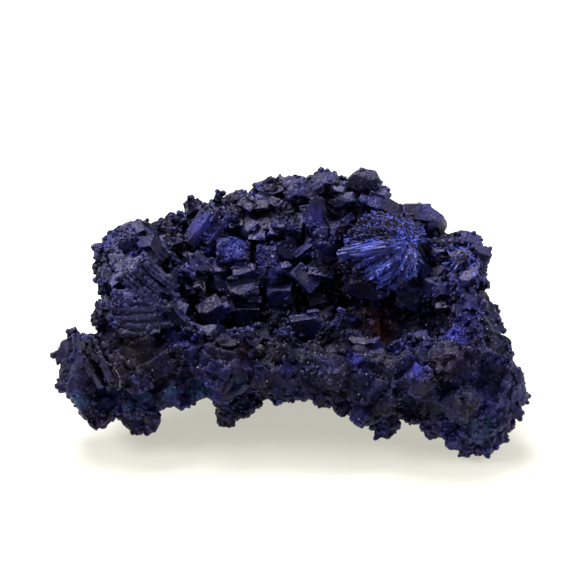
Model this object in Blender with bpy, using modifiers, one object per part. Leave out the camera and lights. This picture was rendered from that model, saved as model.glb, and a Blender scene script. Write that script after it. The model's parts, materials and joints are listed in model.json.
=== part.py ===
"""Azurite specimen: a dished crust of dark blue crystals, grown together in one piece.

The crust is a thick, knobbly shell that leans up from a front rim to a ridge behind, with a hollow between
them. It stands on the tips of a few knobs. Blocky and bladed crystals line the hollow and crown the ridge.

X runs along the front rim, +Y runs from the front rim to the ridge, and +Z is up. The origin is at the
centre of the footprint, on the surface that the specimen stands on.
"""

import math
import random

import bmesh
import bpy
from mathutils import Matrix, Vector, noise

MM = 0.001
NAME = "azurite_cluster"

# ---- the crust: how the lumps are fused, in millimetres ----
FUSE_VOXEL = 0.34
FUSE_SMOOTHING = 0.5
FUSE_PASSES = 5
KNOB_SPACING = 1.7
KNOB_HEIGHT = 0.42
CRUST_TRIANGLES = 2300

# Each lump of the crust is an ellipsoid: centre x, y, z and half-sizes along x, y, z, in millimetres.
FRONT_RIM = [
    (-13.2, -4.6, 4.9, 1.5, 2.0, 2.0),
    (-12.2, -4.7, 3.5, 2.0, 2.0, 1.7),
    (-10.6, -5.0, 5.3, 2.2, 2.0, 2.3),
    (-9.4, -4.8, 3.3, 2.2, 1.9, 1.7),
    (-7.4, -5.0, 5.4, 2.4, 2.0, 2.4),
    (-5.2, -5.2, 5.4, 2.2, 1.9, 2.2),
    (-3.2, -5.2, 5.5, 2.1, 1.9, 2.0),
    (-1.0, -5.3, 5.5, 2.1, 1.9, 2.0),
    (1.2, -5.4, 5.4, 2.1, 1.9, 2.0),
    (3.3, -5.4, 5.0, 2.1, 2.1, 2.4),
    (5.4, -5.6, 4.5, 2.3, 2.2, 2.6),
    (7.8, -5.8, 4.9, 2.3, 2.4, 2.6),
    (10.2, -5.8, 4.8, 2.5, 2.6, 2.8),
    (12.1, -5.1, 4.7, 2.0, 2.5, 2.6),
    (13.3, -4.8, 4.0, 1.1, 1.9, 1.8),
    (11.7, -6.2, 2.8, 1.9, 1.8, 1.9),
]
FEET = [
    (-11.8, -4.9, 2.4, 1.1, 1.3, 1.1),
    (-9.6, -4.3, 1.5, 1.2, 1.3, 1.6),
    (-3.8, -3.7, 2.1, 1.3, 1.3, 1.8),
    (5.5, -4.8, 2.0, 1.4, 1.5, 1.6),
    (11.5, -6.9, 1.3, 1.5, 1.2, 1.3),
    (9.6, -6.2, 2.4, 1.7, 1.5, 1.4),
    (-6.5, 6.2, 1.2, 2.0, 1.8, 1.6),
    (4.0, 7.0, 1.1, 2.2, 1.8, 1.4),
    (9.8, 3.4, 1.6, 1.7, 1.8, 1.9),
]
LEFT_SHOULDER = [
    (-10.6, -2.6, 7.0, 2.0, 2.1, 2.0),
    (-8.9, -2.9, 6.9, 1.9, 2.1, 1.8),
    (-10.3, -0.6, 8.1, 2.0, 2.2, 2.1),
    (-10.3, 1.2, 9.0, 1.8, 2.0, 1.9),
    (-10.6, -0.6, 5.8, 1.9, 2.6, 2.2),
    (-10.0, 1.8, 5.8, 2.2, 2.6, 2.6),
    (-8.6, 3.4, 6.6, 2.2, 2.2, 2.2),
    (-9.4, 2.6, 8.7, 1.4, 1.3, 1.2),
]
RIDGE = [
    (-7.6, 5.8, 7.3, 2.0, 2.1, 1.9),
    (-5.8, 6.8, 7.8, 2.1, 2.0, 1.9),
    (-3.6, 7.4, 8.4, 2.1, 1.9, 1.9),
    (-1.4, 7.8, 8.8, 2.1, 1.9, 1.9),
    (0.8, 8.0, 9.2, 2.1, 1.9, 2.0),
    (2.6, 8.0, 9.4, 1.9, 1.9, 2.0),
    (4.3, 7.8, 9.2, 1.4, 1.9, 1.9),
    (6.0, 7.0, 7.5, 1.7, 1.9, 1.7),
    (7.9, 6.8, 7.3, 1.8, 1.9, 1.8),
    (9.6, 5.2, 7.2, 1.9, 1.9, 1.9),
    (10.7, 3.4, 6.9, 1.8, 2.1, 1.9),
]
RIGHT_WALL = [
    (10.8, 1.4, 6.0, 1.8, 2.2, 2.2),
    (11.2, -0.9, 5.3, 1.9, 2.2, 2.2),
    (11.8, -3.0, 5.0, 2.0, 2.3, 2.4),
]
SLOPE = [
    (-6.4, 3.4, 5.0, 2.5, 2.3, 1.9),
    (-3.6, 4.6, 5.7, 2.5, 2.3, 1.9),
    (-0.6, 5.0, 6.1, 2.5, 2.3, 1.9),
    (2.4, 5.2, 6.6, 2.3, 2.3, 2.0),
    (5.0, 4.2, 6.9, 2.2, 2.3, 2.1),
    (6.2, 2.7, 6.8, 2.0, 1.5, 1.7),
    (8.6, 3.0, 5.9, 2.1, 2.2, 1.9),
]
FLOOR = [
    (-8.0, 0.0, 4.2, 2.4, 2.5, 1.7),
    (-5.6, -1.8, 3.3, 2.5, 2.5, 1.4),
    (-5.0, 1.2, 3.4, 2.6, 2.5, 1.5),
    (-2.2, -2.6, 3.5, 2.5, 2.5, 1.3),
    (-1.8, 0.9, 3.5, 2.6, 2.7, 1.5),
    (1.2, -2.4, 3.5, 2.5, 2.7, 1.3),
    (1.6, 1.6, 3.8, 2.6, 2.7, 1.5),
    (4.4, -2.2, 3.1, 2.5, 2.7, 1.3),
    (4.6, 0.8, 3.2, 2.3, 2.5, 1.5),
    (6.4, -0.4, 3.0, 2.2, 2.6, 1.4),
    (7.6, -2.4, 3.0, 2.3, 2.7, 1.5),
    (8.4, 0.2, 3.6, 2.1, 2.5, 1.7),
    (6.2, 2.8, 4.3, 2.2, 2.0, 1.6),
]
BACK = [
    (-8.2, 4.8, 4.2, 2.2, 2.3, 2.4),
    (-5.8, 6.6, 4.6, 2.4, 2.1, 2.7),
    (-2.8, 7.4, 5.2, 2.4, 1.9, 2.7),
    (0.4, 7.8, 5.4, 2.5, 1.8, 2.9),
    (3.2, 8.0, 5.2, 2.5, 1.8, 3.1),
    (6.2, 7.2, 4.6, 2.2, 1.9, 2.7),
    (8.8, 5.6, 4.6, 2.1, 2.1, 2.5),
    (3.2, 7.4, 3.0, 2.5, 1.9, 2.0),
    (-6.0, 6.2, 2.6, 2.1, 1.9, 1.8),
    (10.0, 3.6, 3.4, 1.9, 2.1, 2.2),
]
RIM_BOSSES = [
    (-13.6, -6.0, 4.4, 1.1, 1.1, 1.2),
    (-12.2, -6.4, 3.0, 1.1, 1.0, 1.1),
    (-10.0, -6.4, 5.6, 1.6, 1.2, 1.4),
    (-10.4, -6.2, 3.4, 1.3, 1.0, 1.0),
    (-7.6, -6.4, 4.3, 1.3, 1.0, 1.1),
    (-4.8, -6.5, 4.8, 1.2, 1.0, 1.2),
    (-2.4, -6.6, 5.6, 1.2, 0.9, 1.1),
    (0.2, -6.7, 5.0, 1.2, 0.9, 1.1),
    (2.6, -6.8, 5.6, 1.2, 1.0, 1.2),
    (3.8, -6.8, 3.6, 1.1, 1.0, 1.1),
    (6.2, -7.2, 5.0, 1.3, 1.0, 1.3),
    (8.4, -7.4, 6.0, 1.3, 1.2, 1.2),
    (7.8, -7.2, 3.4, 1.3, 1.1, 1.1),
    (10.6, -7.7, 4.4, 1.4, 1.2, 1.5),
    (12.7, -6.7, 3.2, 1.3, 1.2, 1.3),
    (13.2, -6.3, 5.6, 1.1, 1.2, 1.4),
    (11.2, -6.2, 6.8, 1.5, 1.2, 1.0),
]
ROSETTE_HEART = [
    (5.4, 4.6, 8.3, 1.9, 1.5, 1.7),
    (6.3, 3.6, 7.6, 1.4, 1.3, 1.3),
]
LUMPS = (
    FRONT_RIM
    + RIM_BOSSES
    + FEET
    + LEFT_SHOULDER
    + RIDGE
    + RIGHT_WALL
    + SLOPE
    + FLOOR
    + BACK
    + ROSETTE_HEART
)

# Each pit is a point on the skin, its radius and its depth.
PITS = [
    (12.0, -7.7, 5.8, 0.9, 1.2),
    (7.0, -7.6, 4.2, 0.8, 1.0),
    (9.4, -7.9, 5.4, 0.7, 0.8),
    (-8.4, -7.0, 5.0, 0.7, 0.7),
    (-6.2, -6.9, 4.6, 0.8, 1.0),
    (1.4, -7.2, 4.6, 0.7, 0.8),
    (-11.4, -6.9, 4.2, 0.7, 0.8),
]

# ---- the crystals ----
# Each row is the centre, the length x width x thickness, the way the length runs, the way the broad face
# looks, and the number of sides of the outline: 4 is a block, 6 a tablet with chisel ends, 8 a round plate.
SHOULDER_CRYSTALS = [
    ((-10.7, 1.4, 10.2), (2.3, 1.9, 1.9), (1.0, 0.2, 0.4), (-0.4, -0.2, 1.0), 4),
    ((-10.2, 2.0, 10.9), (1.7, 1.3, 0.8), (1.0, 0.3, 0.35), (-0.35, -0.4, 1.0), 6),
    ((-11.4, 1.2, 10.2), (1.3, 1.1, 1.0), (1.0, -0.3, 0.2), (-0.5, -0.3, 1.0), 6),
    ((-8.7, 3.2, 9.5), (3.6, 1.7, 0.55), (2.1, -1.8, -1.7), (0.7, 0.2, 0.6), 6),
    ((-9.0, 1.6, 9.6), (2.0, 1.8, 0.9), (0.7, -0.4, -0.6), (0.3, -0.9, 0.4), 4),
    ((-11.7, -1.2, 9.1), (1.6, 1.4, 1.4), (1.0, 0.2, -0.25), (0.2, -0.3, 1.0), 4),
    ((-10.9, -1.1, 9.9), (1.1, 1.0, 1.0), (1.0, 0.4, 0.0), (0.0, -0.3, 1.0), 4),
    ((-11.1, -4.2, 8.1), (0.9, 0.8, 1.1), (1.0, -0.2, 0.0), (0.0, -0.2, 1.0), 4),
    ((-9.6, -5.1, 7.5), (1.9, 1.0, 0.5), (1.0, -0.2, 0.45), (-0.3, -0.6, 0.7), 6),
    ((-12.2, -3.0, 7.7), (1.2, 1.2, 1.2), (1.0, 0.5, 0.1), (-0.3, -0.2, 1.0), 4),
    ((-13.7, -3.9, 6.8), (1.1, 1.0, 0.9), (0.3, 1.0, 0.2), (-0.7, -0.3, 0.7), 8),
    ((-13.7, -4.9, 5.7), (1.3, 1.2, 1.2), (0.2, 0.4, 1.0), (-0.9, -0.5, 0.2), 8),
    ((-13.1, -5.7, 6.7), (2.8, 1.4, 0.5), (0.1, -0.3, -1.0), (-0.5, -0.8, 0.2), 8),
    ((-11.9, -6.3, 6.9), (3.6, 0.8, 0.45), (1.5, -0.9, -2.8), (-0.5, -0.75, 0.3), 6),
    ((-12.4, -6.2, 5.9), (2.6, 0.8, 0.4), (1.5, -0.7, -2.6), (-0.6, -0.7, 0.2), 6),
]
RIDGE_CRYSTALS = [
    ((-8.4, 5.6, 9.5), (1.9, 1.4, 0.5), (1.0, 0.0, 0.0), (0.0, -0.1, 1.0), 6),
    ((-7.8, 4.6, 9.0), (1.3, 1.2, 1.1), (1.0, 0.4, 0.2), (0.2, -0.5, 0.9), 6),
    ((-7.3, 6.2, 9.6), (1.0, 1.0, 1.0), (1.0, 0.2, 0.3), (-0.3, -0.3, 1.0), 6),
    ((-6.3, 7.0, 10.1), (1.1, 1.0, 0.8), (1.0, 0.3, 0.0), (0.1, -0.2, 1.0), 4),
    ((-5.6, 6.7, 10.0), (0.8, 0.8, 0.9), (1.0, -0.3, 0.2), (0.0, -0.4, 1.0), 6),
    ((-4.7, 7.4, 10.2), (1.2, 1.0, 0.8), (1.0, 0.1, 0.1), (-0.1, -0.3, 1.0), 6),
    ((-3.7, 7.5, 10.5), (1.0, 0.9, 0.9), (1.0, 0.3, -0.1), (0.2, -0.4, 1.0), 4),
    ((-2.9, 7.7, 10.4), (0.8, 0.8, 0.8), (1.0, 0.0, 0.2), (0.0, -0.2, 1.0), 6),
    ((-1.4, 7.9, 10.8), (1.9, 1.6, 1.3), (1.0, 0.2, 0.3), (-0.3, -0.5, 0.9), 6),
    ((0.1, 8.0, 10.9), (1.9, 1.6, 1.2), (1.0, 0.1, 0.15), (-0.1, -0.5, 0.9), 6),
    ((1.7, 8.1, 11.3), (1.3, 1.2, 1.2), (1.0, 0.3, 0.0), (0.2, -0.2, 1.0), 6),
    ((2.6, 7.7, 11.4), (1.2, 1.1, 1.0), (1.0, -0.4, 0.0), (0.1, -0.4, 1.0), 4),
    ((4.3, 7.8, 11.0), (1.7, 1.4, 1.5), (1.0, 0.3, -0.1), (0.1, -0.3, 1.0), 4),
    ((5.1, 7.7, 11.1), (1.0, 1.0, 1.1), (1.0, -0.5, 0.0), (0.3, -0.3, 1.0), 6),
    ((4.1, 6.7, 10.4), (3.0, 1.2, 0.8), (1.0, 0.0, -0.05), (0.0, -0.4, 0.9), 4),
    ((5.7, 6.2, 9.6), (1.5, 1.2, 1.1), (1.0, -0.3, -0.5), (0.4, -0.4, 0.9), 6),
    ((7.5, 6.6, 9.2), (1.8, 1.7, 1.3), (1.0, 0.2, -0.1), (0.0, -0.4, 1.0), 8),
    ((8.2, 5.7, 9.2), (2.4, 1.3, 0.45), (1.1, -1.0, -1.5), (-0.3, -0.8, 0.3), 6),
    ((9.1, 6.0, 9.1), (1.4, 1.3, 1.2), (1.0, 0.1, -0.2), (0.2, -0.3, 1.0), 6),
]
SLOPE_CRYSTALS = [
    ((-5.9, 5.0, 9.6), (2.6, 1.0, 0.9), (1.2, 1.0, 1.5), (-0.6, -0.5, 0.6), 4),
    ((-4.9, 4.8, 9.2), (1.8, 0.5, 0.7), (1.2, 1.0, 1.2), (-0.5, -0.5, 0.7), 4),
    ((-3.6, 5.6, 9.5), (0.9, 0.8, 0.4), (1.0, 0.0, 0.1), (0.0, -0.2, 1.0), 6),
    ((-4.2, 4.9, 8.5), (1.1, 0.8, 0.4), (1.0, 0.1, 0.1), (0.0, -0.4, 0.9), 6),
    ((-2.3, 5.2, 8.6), (1.1, 1.1, 1.2), (1.0, 0.0, 0.0), (0.0, -0.35, 1.0), 6),
    ((-0.3, 5.5, 9.4), (1.9, 1.5, 1.2), (1.0, -0.1, -0.1), (0.05, -0.35, 1.0), 4),
    ((-1.9, 6.9, 10.1), (1.6, 1.1, 0.7), (1.0, 0.1, 0.0), (0.1, -0.3, 1.0), 4),
    ((-1.9, 5.9, 9.2), (1.2, 0.9, 0.6), (1.0, -0.2, 0.1), (0.0, -0.5, 1.0), 6),
    ((1.0, 5.7, 9.6), (2.1, 0.8, 0.5), (-0.3, 0.9, 1.4), (-0.2, -0.9, 0.5), 6),
    ((1.7, 5.9, 9.8), (2.5, 0.8, 0.6), (-0.35, 0.9, 1.5), (0.3, -0.9, 0.4), 6),
    ((1.3, 5.2, 8.6), (0.9, 0.8, 0.7), (1.0, 0.3, 0.2), (0.0, -0.5, 0.9), 4),
    ((1.9, 4.6, 8.7), (2.1, 0.8, 0.7), (0.05, 0.6, 1.2), (-0.3, -0.9, 0.3), 4),
    ((2.8, 4.4, 8.7), (1.7, 0.9, 0.6), (0.2, 0.5, 1.1), (0.6, -0.7, 0.2), 4),
    ((-0.5, 4.6, 8.1), (1.6, 1.3, 0.9), (1.0, 0.2, 0.1), (0.1, -0.8, 0.6), 6),
    ((0.6, 4.4, 8.2), (1.5, 0.5, 0.5), (1.0, 0.4, 0.5), (-0.3, -0.5, 0.8), 4),
    ((-1.7, 4.0, 7.9), (1.3, 1.3, 1.2), (1.0, 0.0, 0.0), (0.1, -0.6, 0.8), 8),
    ((-1.9, 2.9, 7.2), (1.4, 0.9, 0.5), (0.1, 0.3, 1.0), (0.9, -0.5, 0.0), 6),
    ((-1.3, 2.9, 7.1), (1.3, 0.8, 0.5), (0.3, 0.3, 1.0), (0.6, -0.7, 0.0), 6),
    ((-0.5, 3.4, 7.6), (0.8, 0.6, 0.5), (1.0, 0.3, 0.1), (0.0, -0.3, 1.0), 4),
    ((0.7, 3.0, 6.9), (1.9, 1.2, 0.8), (1.2, -0.6, -1.1), (0.2, -0.5, 0.8), 4),
    ((1.8, 3.2, 7.2), (1.7, 0.7, 0.4), (1.0, -0.05, -0.15), (0.0, -0.3, 1.0), 6),
    ((-3.2, 2.2, 6.4), (2.0, 1.2, 1.2), (1.0, 0.05, -0.05), (0.0, -0.45, 1.0), 4),
    ((-3.1, 3.1, 7.2), (1.5, 1.2, 1.6), (1.0, 0.1, 0.1), (0.0, -0.4, 1.0), 6),
    ((-3.8, 4.1, 8.1), (2.0, 1.7, 1.6), (1.0, -0.1, 0.1), (0.0, -0.5, 0.9), 8),
    ((-6.0, 3.0, 7.9), (1.7, 1.4, 1.1), (1.0, 0.3, -0.4), (0.1, -0.5, 0.8), 6),
    ((-7.0, 2.0, 7.9), (1.6, 0.9, 0.5), (1.0, 0.1, -0.1), (0.0, -0.3, 1.0), 6),
    ((-6.4, 1.6, 7.1), (1.0, 0.9, 0.9), (1.0, 0.3, 0.0), (0.1, -0.3, 1.0), 4),
]
RIGHT_CRYSTALS = [
    ((11.0, 4.4, 9.0), (1.7, 1.4, 0.9), (1.0, 0.2, -0.2), (0.1, -0.4, 1.0), 6),
    ((9.3, 3.7, 8.9), (1.9, 1.1, 0.45), (1.0, 0.0, 0.1), (0.0, -0.4, 1.0), 6),
    ((9.5, 3.4, 8.4), (1.7, 1.1, 0.45), (1.0, 0.2, 0.0), (0.1, -0.5, 1.0), 6),
    ((10.4, 2.0, 8.6), (1.15, 1.1, 1.7), (0.8, 0.6, 0.1), (0.15, -0.4, 1.0), 4),
    ((11.9, 2.6, 8.2), (0.9, 0.9, 1.1), (1.0, 0.3, 0.0), (0.4, -0.2, 1.0), 4),
    ((11.8, 1.5, 7.5), (1.2, 0.9, 1.1), (0.8, -0.5, 0.0), (0.4, -0.3, 0.9), 6),
    ((9.3, -0.5, 6.9), (0.75, 0.6, 0.6), (1.0, 0.1, 0.0), (0.0, -0.4, 1.0), 4),
]
RIM_CRYSTALS = [
    ((-6.3, -4.4, 7.5), (1.4, 0.9, 0.9), (1.0, 0.0, -0.35), (0.2, -0.4, 0.9), 4),
    ((-2.9, -4.6, 7.3), (1.5, 1.0, 0.8), (1.0, -0.1, 0.2), (-0.1, -0.4, 0.9), 6),
    ((-2.1, -5.7, 7.0), (0.95, 0.5, 0.45), (0.7, -0.2, -0.7), (-0.3, -0.6, 0.7), 4),
    ((-0.4, -4.7, 7.2), (1.1, 0.9, 0.8), (1.0, 0.1, 0.1), (0.1, -0.3, 1.0), 6),
    ((2.2, -4.3, 7.4), (1.9, 0.6, 0.7), (1.0, 0.3, 0.8), (-0.5, -0.4, 0.7), 6),
    ((3.1, -4.6, 7.2), (1.6, 0.6, 0.6), (1.0, 0.1, 0.7), (-0.5, -0.5, 0.6), 6),
]

# The rosette is a fan of blades that spring from one point and turn from the left, over the front, to the right.
ROSETTE_HEAD = (5.9, 4.0, 9.7)
ROSETTE_BLADE = (3.9, 1.9, 0.55)
ROSETTE_BLADES = 10
ROSETTE_LEFT = (-0.95, -0.6, -0.25)
ROSETTE_FRONT = (0.0, -0.85, -0.6)
ROSETTE_RIGHT = (0.7, -0.7, -0.7)

# The crest is the upper half of the rosette: shorter blades that stand up from the same heart.
CREST_HEAD = (5.4, 4.8, 8.9)
CREST_BLADE = (2.2, 1.8, 0.5)
CREST_BLADES = 6
CREST_LEFT = (-1.0, -0.4, 0.5)
CREST_FRONT = (0.0, -0.5, 1.0)
CREST_RIGHT = (1.0, -0.3, 0.35)

# The spray is a smaller fan on the right shoulder, and the stacks are plates piled like a leaning deck of cards.
SPRAY_HEAD = (10.7, 3.5, 9.0)
SPRAY_BLADE = (2.3, 1.1, 0.42)
SPRAY_BLADES = 5
SPRAY_LEFT = (0.15, -0.75, -0.75)
SPRAY_FRONT = (0.7, -0.45, -0.7)
SPRAY_RIGHT = (0.9, -0.1, -0.5)

# A stack is a pile of plates: first plate's centre, plate size, step to the next plate, long way, face, turn and count.
STACKS = [
    ((-9.9, -4.5, 7.4), (4.1, 2.0, 0.4), (0.02, 0.16, 0.46), (1.0, -0.1, 0.08), (0.0, -0.35, 1.0), 6.0, 5),
    ((-9.7, -2.4, 8.7), (3.3, 1.7, 0.4), (0.3, 0.12, 0.36), (2.2, -1.3, -1.6), (0.5, 0.1, 0.6), 7.0, 5),
    ((-11.6, 0.3, 9.3), (2.2, 1.6, 0.36), (0.05, 0.25, 0.4), (1.0, 0.2, 0.4), (-0.3, -0.5, 0.9), -6.0, 3),
]

# ---- crystals strewn by rule: how many, their size and the space that each one keeps ----
SEED = 11
HOLLOW_COUNT = 48
HOLLOW_SIZE = (1.0, 1.7)
HOLLOW_SPACE = 1.0
FRONT_COUNT = 26
FRONT_SIZE = (1.0, 1.7)
FRONT_SPACE = 1.2
FRONT_SINK = 0.3
BACK_COUNT = 28
BACK_SIZE = (1.2, 2.0)
BACK_SPACE = 1.7
BACK_SINK = 0.25
MOST_TRIES = 4000

TAPER = 0.9
SHEAR = 0.08
COLOUR = (0.012, 0.014, 0.075, 1.0)
ROUGHNESS = 0.32


def clear_scene():
    """Removes every object, so that only the specimen is in the file."""
    for obj in list(bpy.data.objects):
        bpy.data.objects.remove(obj, do_unlink=True)


def new_collection(name):
    """A collection linked to the scene."""
    made = bpy.data.collections.new(name)
    bpy.context.scene.collection.children.link(made)
    return made


def object_from_bmesh(bm, name, collection):
    """Moves a bmesh into a new object."""
    mesh = bpy.data.meshes.new(name)
    bm.to_mesh(mesh)
    bm.free()
    obj = bpy.data.objects.new(name, mesh)
    collection.objects.link(obj)
    return obj


def bake_modifiers(obj):
    """Replaces the object's mesh with its evaluated mesh and drops its modifiers."""
    graph = bpy.context.evaluated_depsgraph_get()
    baked = bpy.data.meshes.new_from_object(obj.evaluated_get(graph))
    obj.modifiers.clear()
    obj.data = baked


def fuse_lumps(collection):
    """All the lumps as one closed skin, with the creases between them softened."""
    bm = bmesh.new()
    for x, y, z, half_x, half_y, half_z in LUMPS:
        place = Matrix.Translation(Vector((x, y, z)) * MM)
        size = Matrix.Diagonal((half_x * MM, half_y * MM, half_z * MM, 1.0))
        bmesh.ops.create_icosphere(bm, subdivisions=3, radius=1.0, matrix=place @ size)
    crust = object_from_bmesh(bm, NAME, collection)
    fuse = crust.modifiers.new("fuse", "REMESH")
    fuse.mode = "VOXEL"
    fuse.voxel_size = FUSE_VOXEL * MM
    soften = crust.modifiers.new("soften", "SMOOTH")
    soften.factor = FUSE_SMOOTHING
    soften.iterations = FUSE_PASSES
    bake_modifiers(crust)
    return crust


def raise_knobs(crust):
    """Swells the skin into rounded knobs, one for each cell of a cellular noise."""
    mesh = crust.data
    normals = [v.normal.copy() for v in mesh.vertices]
    for vertex, normal in zip(mesh.vertices, normals):
        distances, _ = noise.voronoi(vertex.co / (KNOB_SPACING * MM))
        rise = KNOB_HEIGHT * (1.0 - 1.6 * distances[0])
        vertex.co += normal * rise * MM


def press_pits(crust):
    """Pushes the skin inwards around each pit, deepest at its middle."""
    mesh = crust.data
    normals = [v.normal.copy() for v in mesh.vertices]
    for x, y, z, radius, depth in PITS:
        middle = Vector((x, y, z)) * MM
        for vertex, normal in zip(mesh.vertices, normals):
            share = (vertex.co - middle).length / (radius * 1.6 * MM)
            if share < 1.0:
                vertex.co -= normal * depth * (1.0 - share * share) ** 2 * MM


def thin_out(crust, triangles):
    """Collapses edges until about that many triangles are left."""
    crust.data.calc_loop_triangles()
    fewer = crust.modifiers.new("fewer", "DECIMATE")
    fewer.ratio = min(1.0, triangles / len(crust.data.loop_triangles))
    bake_modifiers(crust)


def crystal_frame(centre, along, face):
    """A matrix whose X runs along the crystal and whose Z looks the way its broad face looks."""
    x = Vector(along).normalized()
    z = Vector(face)
    z = (z - x * z.dot(x)).normalized()
    y = z.cross(x)
    turned = Matrix((x, y, z)).transposed().to_4x4()
    return Matrix.Translation(Vector(centre) * MM) @ turned


def add_crystal(collection, centre, size, along, face, sides):
    """One closed crystal: a prism with flat faces, a little narrower and shifted at its top."""
    length, width, thickness = (value * MM for value in size)
    bm = bmesh.new()
    bmesh.ops.create_cone(
        bm, cap_ends=True, segments=sides, radius1=0.5, radius2=0.5 * TAPER, depth=1.0
    )
    turn = math.pi / 4 if sides == 4 else 0.0
    stretch = math.sqrt(2.0) if sides == 4 else 1.0
    bm.transform(Matrix.Rotation(turn, 4, "Z"))
    for vertex in bm.verts:
        vertex.co.x = (vertex.co.x * stretch + SHEAR * vertex.co.z) * length
        vertex.co.y = vertex.co.y * stretch * width
        vertex.co.z = vertex.co.z * thickness
    bm.transform(crystal_frame(centre, along, face))
    return object_from_bmesh(bm, "crystal", collection)


def add_fan(collection, head, blade, count, left, front, right):
    """Blades that spring from one point, turning evenly from the left through the front to the right."""
    directions = []
    for index in range(count):
        share = index / (count - 1)
        first, second = (left, front) if share < 0.5 else (front, right)
        blend = 2.0 * share if share < 0.5 else 2.0 * share - 1.0
        directions.append(Vector(first).normalized().lerp(Vector(second).normalized(), blend))
    for index, direction in enumerate(directions):
        before = directions[max(0, index - 1)]
        after = directions[min(count - 1, index + 1)]
        reach = 0.5 + 0.03 * (index % 3)
        centre = Vector(head) + direction.normalized() * blade[0] * reach
        add_crystal(collection, centre, blade, direction, after - before, 6)


def add_stack(collection, first, size, step, along, face, turn, count):
    """Plates piled on each other, each one turned a little more about the pile's own axis."""
    for index in range(count):
        centre = Vector(first) + Vector(step) * index
        rotation = Matrix.Rotation(math.radians(turn * index), 3, Vector(face))
        shrink = 1.0 - 0.05 * index
        plate = (size[0] * shrink, size[1] * shrink, size[2])
        add_crystal(collection, centre, plate, rotation @ Vector(along), face, 6)


def add_placed_crystals(collection):
    """The crystals that have a place of their own. Returns their centres."""
    groups = SHOULDER_CRYSTALS + RIDGE_CRYSTALS + SLOPE_CRYSTALS + RIGHT_CRYSTALS + RIM_CRYSTALS
    for centre, size, along, face, sides in groups:
        add_crystal(collection, centre, size, along, face, sides)
    add_fan(
        collection, ROSETTE_HEAD, ROSETTE_BLADE, ROSETTE_BLADES, ROSETTE_LEFT, ROSETTE_FRONT, ROSETTE_RIGHT
    )
    add_fan(collection, CREST_HEAD, CREST_BLADE, CREST_BLADES, CREST_LEFT, CREST_FRONT, CREST_RIGHT)
    add_fan(collection, SPRAY_HEAD, SPRAY_BLADE, SPRAY_BLADES, SPRAY_LEFT, SPRAY_FRONT, SPRAY_RIGHT)
    for stack in STACKS:
        add_stack(collection, *stack)
    return [Vector(row[0]) for row in groups] + [Vector(ROSETTE_HEAD), Vector(SPRAY_HEAD)]


def in_hollow(point, normal):
    """True on the inner side of the crust, behind the rim, where the surface looks up or to the front."""
    return point.y > -4.6 and normal.z > 0.1 and normal.y < 0.6 and abs(point.x) < 12.0


def on_front(point, normal):
    """True on the outer side of the front rim, above the arch between the feet."""
    return point.y < -4.6 and normal.y < -0.2 and normal.z > -0.35 and abs(point.x) < 12.4


def on_back(point, normal):
    """True on the outer side of the two flanks and behind the ridge, clear of the feet."""
    if point.z < 2.4 or point.y < -3.5:
        return False
    return normal.y > 0.3 or (abs(point.x) > 9.0 and abs(normal.x) > 0.5 and abs(point.x) < 12.6)


def strew_crystals(crust, collection, taken, chooser, inside, count, sizes, space, sink):
    """Seats crystals on the crust at random faces that pass the test, each clear of the ones before it."""
    faces = [face for face in crust.data.polygons if inside(face.center / MM, face.normal)]
    areas = [face.area for face in faces]
    placed = 0
    for _ in range(MOST_TRIES):
        face = chooser.choices(faces, areas)[0]
        point = face.center / MM
        if placed == count:
            break
        if any((point - other).length < space for other in taken):
            continue
        placed += 1
        taken.append(point)
        side = Vector((chooser.uniform(-1, 1), chooser.uniform(-1, 1), chooser.uniform(-1, 1)))
        looks = face.normal + side * 0.5
        length = chooser.uniform(*sizes)
        size = (length, length * chooser.uniform(0.55, 0.9), length * chooser.uniform(0.6, 1.0))
        seat = point - face.normal * sink
        add_crystal(collection, seat, size, side.cross(face.normal), looks, chooser.choice((4, 4, 6)))


def join_crystals(crust, crystals):
    """Fuses every crystal with the crust in one solid, then drops the loose crystals."""
    join = crust.modifiers.new("join crystals", "BOOLEAN")
    join.operation = "UNION"
    join.operand_type = "COLLECTION"
    join.collection = crystals
    join.solver = "EXACT"
    join.use_self = True
    bake_modifiers(crust)
    for obj in list(crystals.objects):
        bpy.data.objects.remove(obj, do_unlink=True)
    bpy.data.collections.remove(crystals)


def bodies_of(bm):
    """The sets of vertices that hang together, the largest one last."""
    left = set(bm.verts)
    bodies = []
    while left:
        reached = {left.pop()}
        front = list(reached)
        while front:
            vertex = front.pop()
            for edge in vertex.link_edges:
                other = edge.other_vert(vertex)
                if other in left:
                    left.remove(other)
                    reached.add(other)
                    front.append(other)
        bodies.append(reached)
    return sorted(bodies, key=len)


def drop_crumbs(crust):
    """Keeps the largest closed body, because a crystal that misses the crust would float."""
    bm = bmesh.new()
    bm.from_mesh(crust.data)
    crumbs = bodies_of(bm)[:-1]
    for crumb in crumbs:
        bmesh.ops.delete(bm, geom=list(crumb), context="VERTS")
    bm.to_mesh(crust.data)
    bm.free()
    print("crumbs dropped:", len(crumbs))


def flatten_feet(crust, collection):
    """Cuts the lowest knobs off at height zero, so that the specimen stands on small flats."""
    side = 60.0 * MM
    bm = bmesh.new()
    bmesh.ops.create_cube(bm, size=side, matrix=Matrix.Translation((0, 0, -side / 2)))
    floor = object_from_bmesh(bm, "floor_cutter", collection)
    cut = crust.modifiers.new("flat feet", "BOOLEAN")
    cut.operation = "DIFFERENCE"
    cut.object = floor
    cut.solver = "EXACT"
    bake_modifiers(crust)
    bpy.data.objects.remove(floor, do_unlink=True)


def centre_footprint(crust):
    """Moves the mesh so that the middle of its width and depth is over the origin."""
    points = [vertex.co for vertex in crust.data.vertices]
    middle_x = (min(p.x for p in points) + max(p.x for p in points)) / 2
    middle_y = (min(p.y for p in points) + max(p.y for p in points)) / 2
    crust.data.transform(Matrix.Translation((-middle_x, -middle_y, 0.0)))
    print("moved by", -middle_x / MM, -middle_y / MM, "mm")


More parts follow.
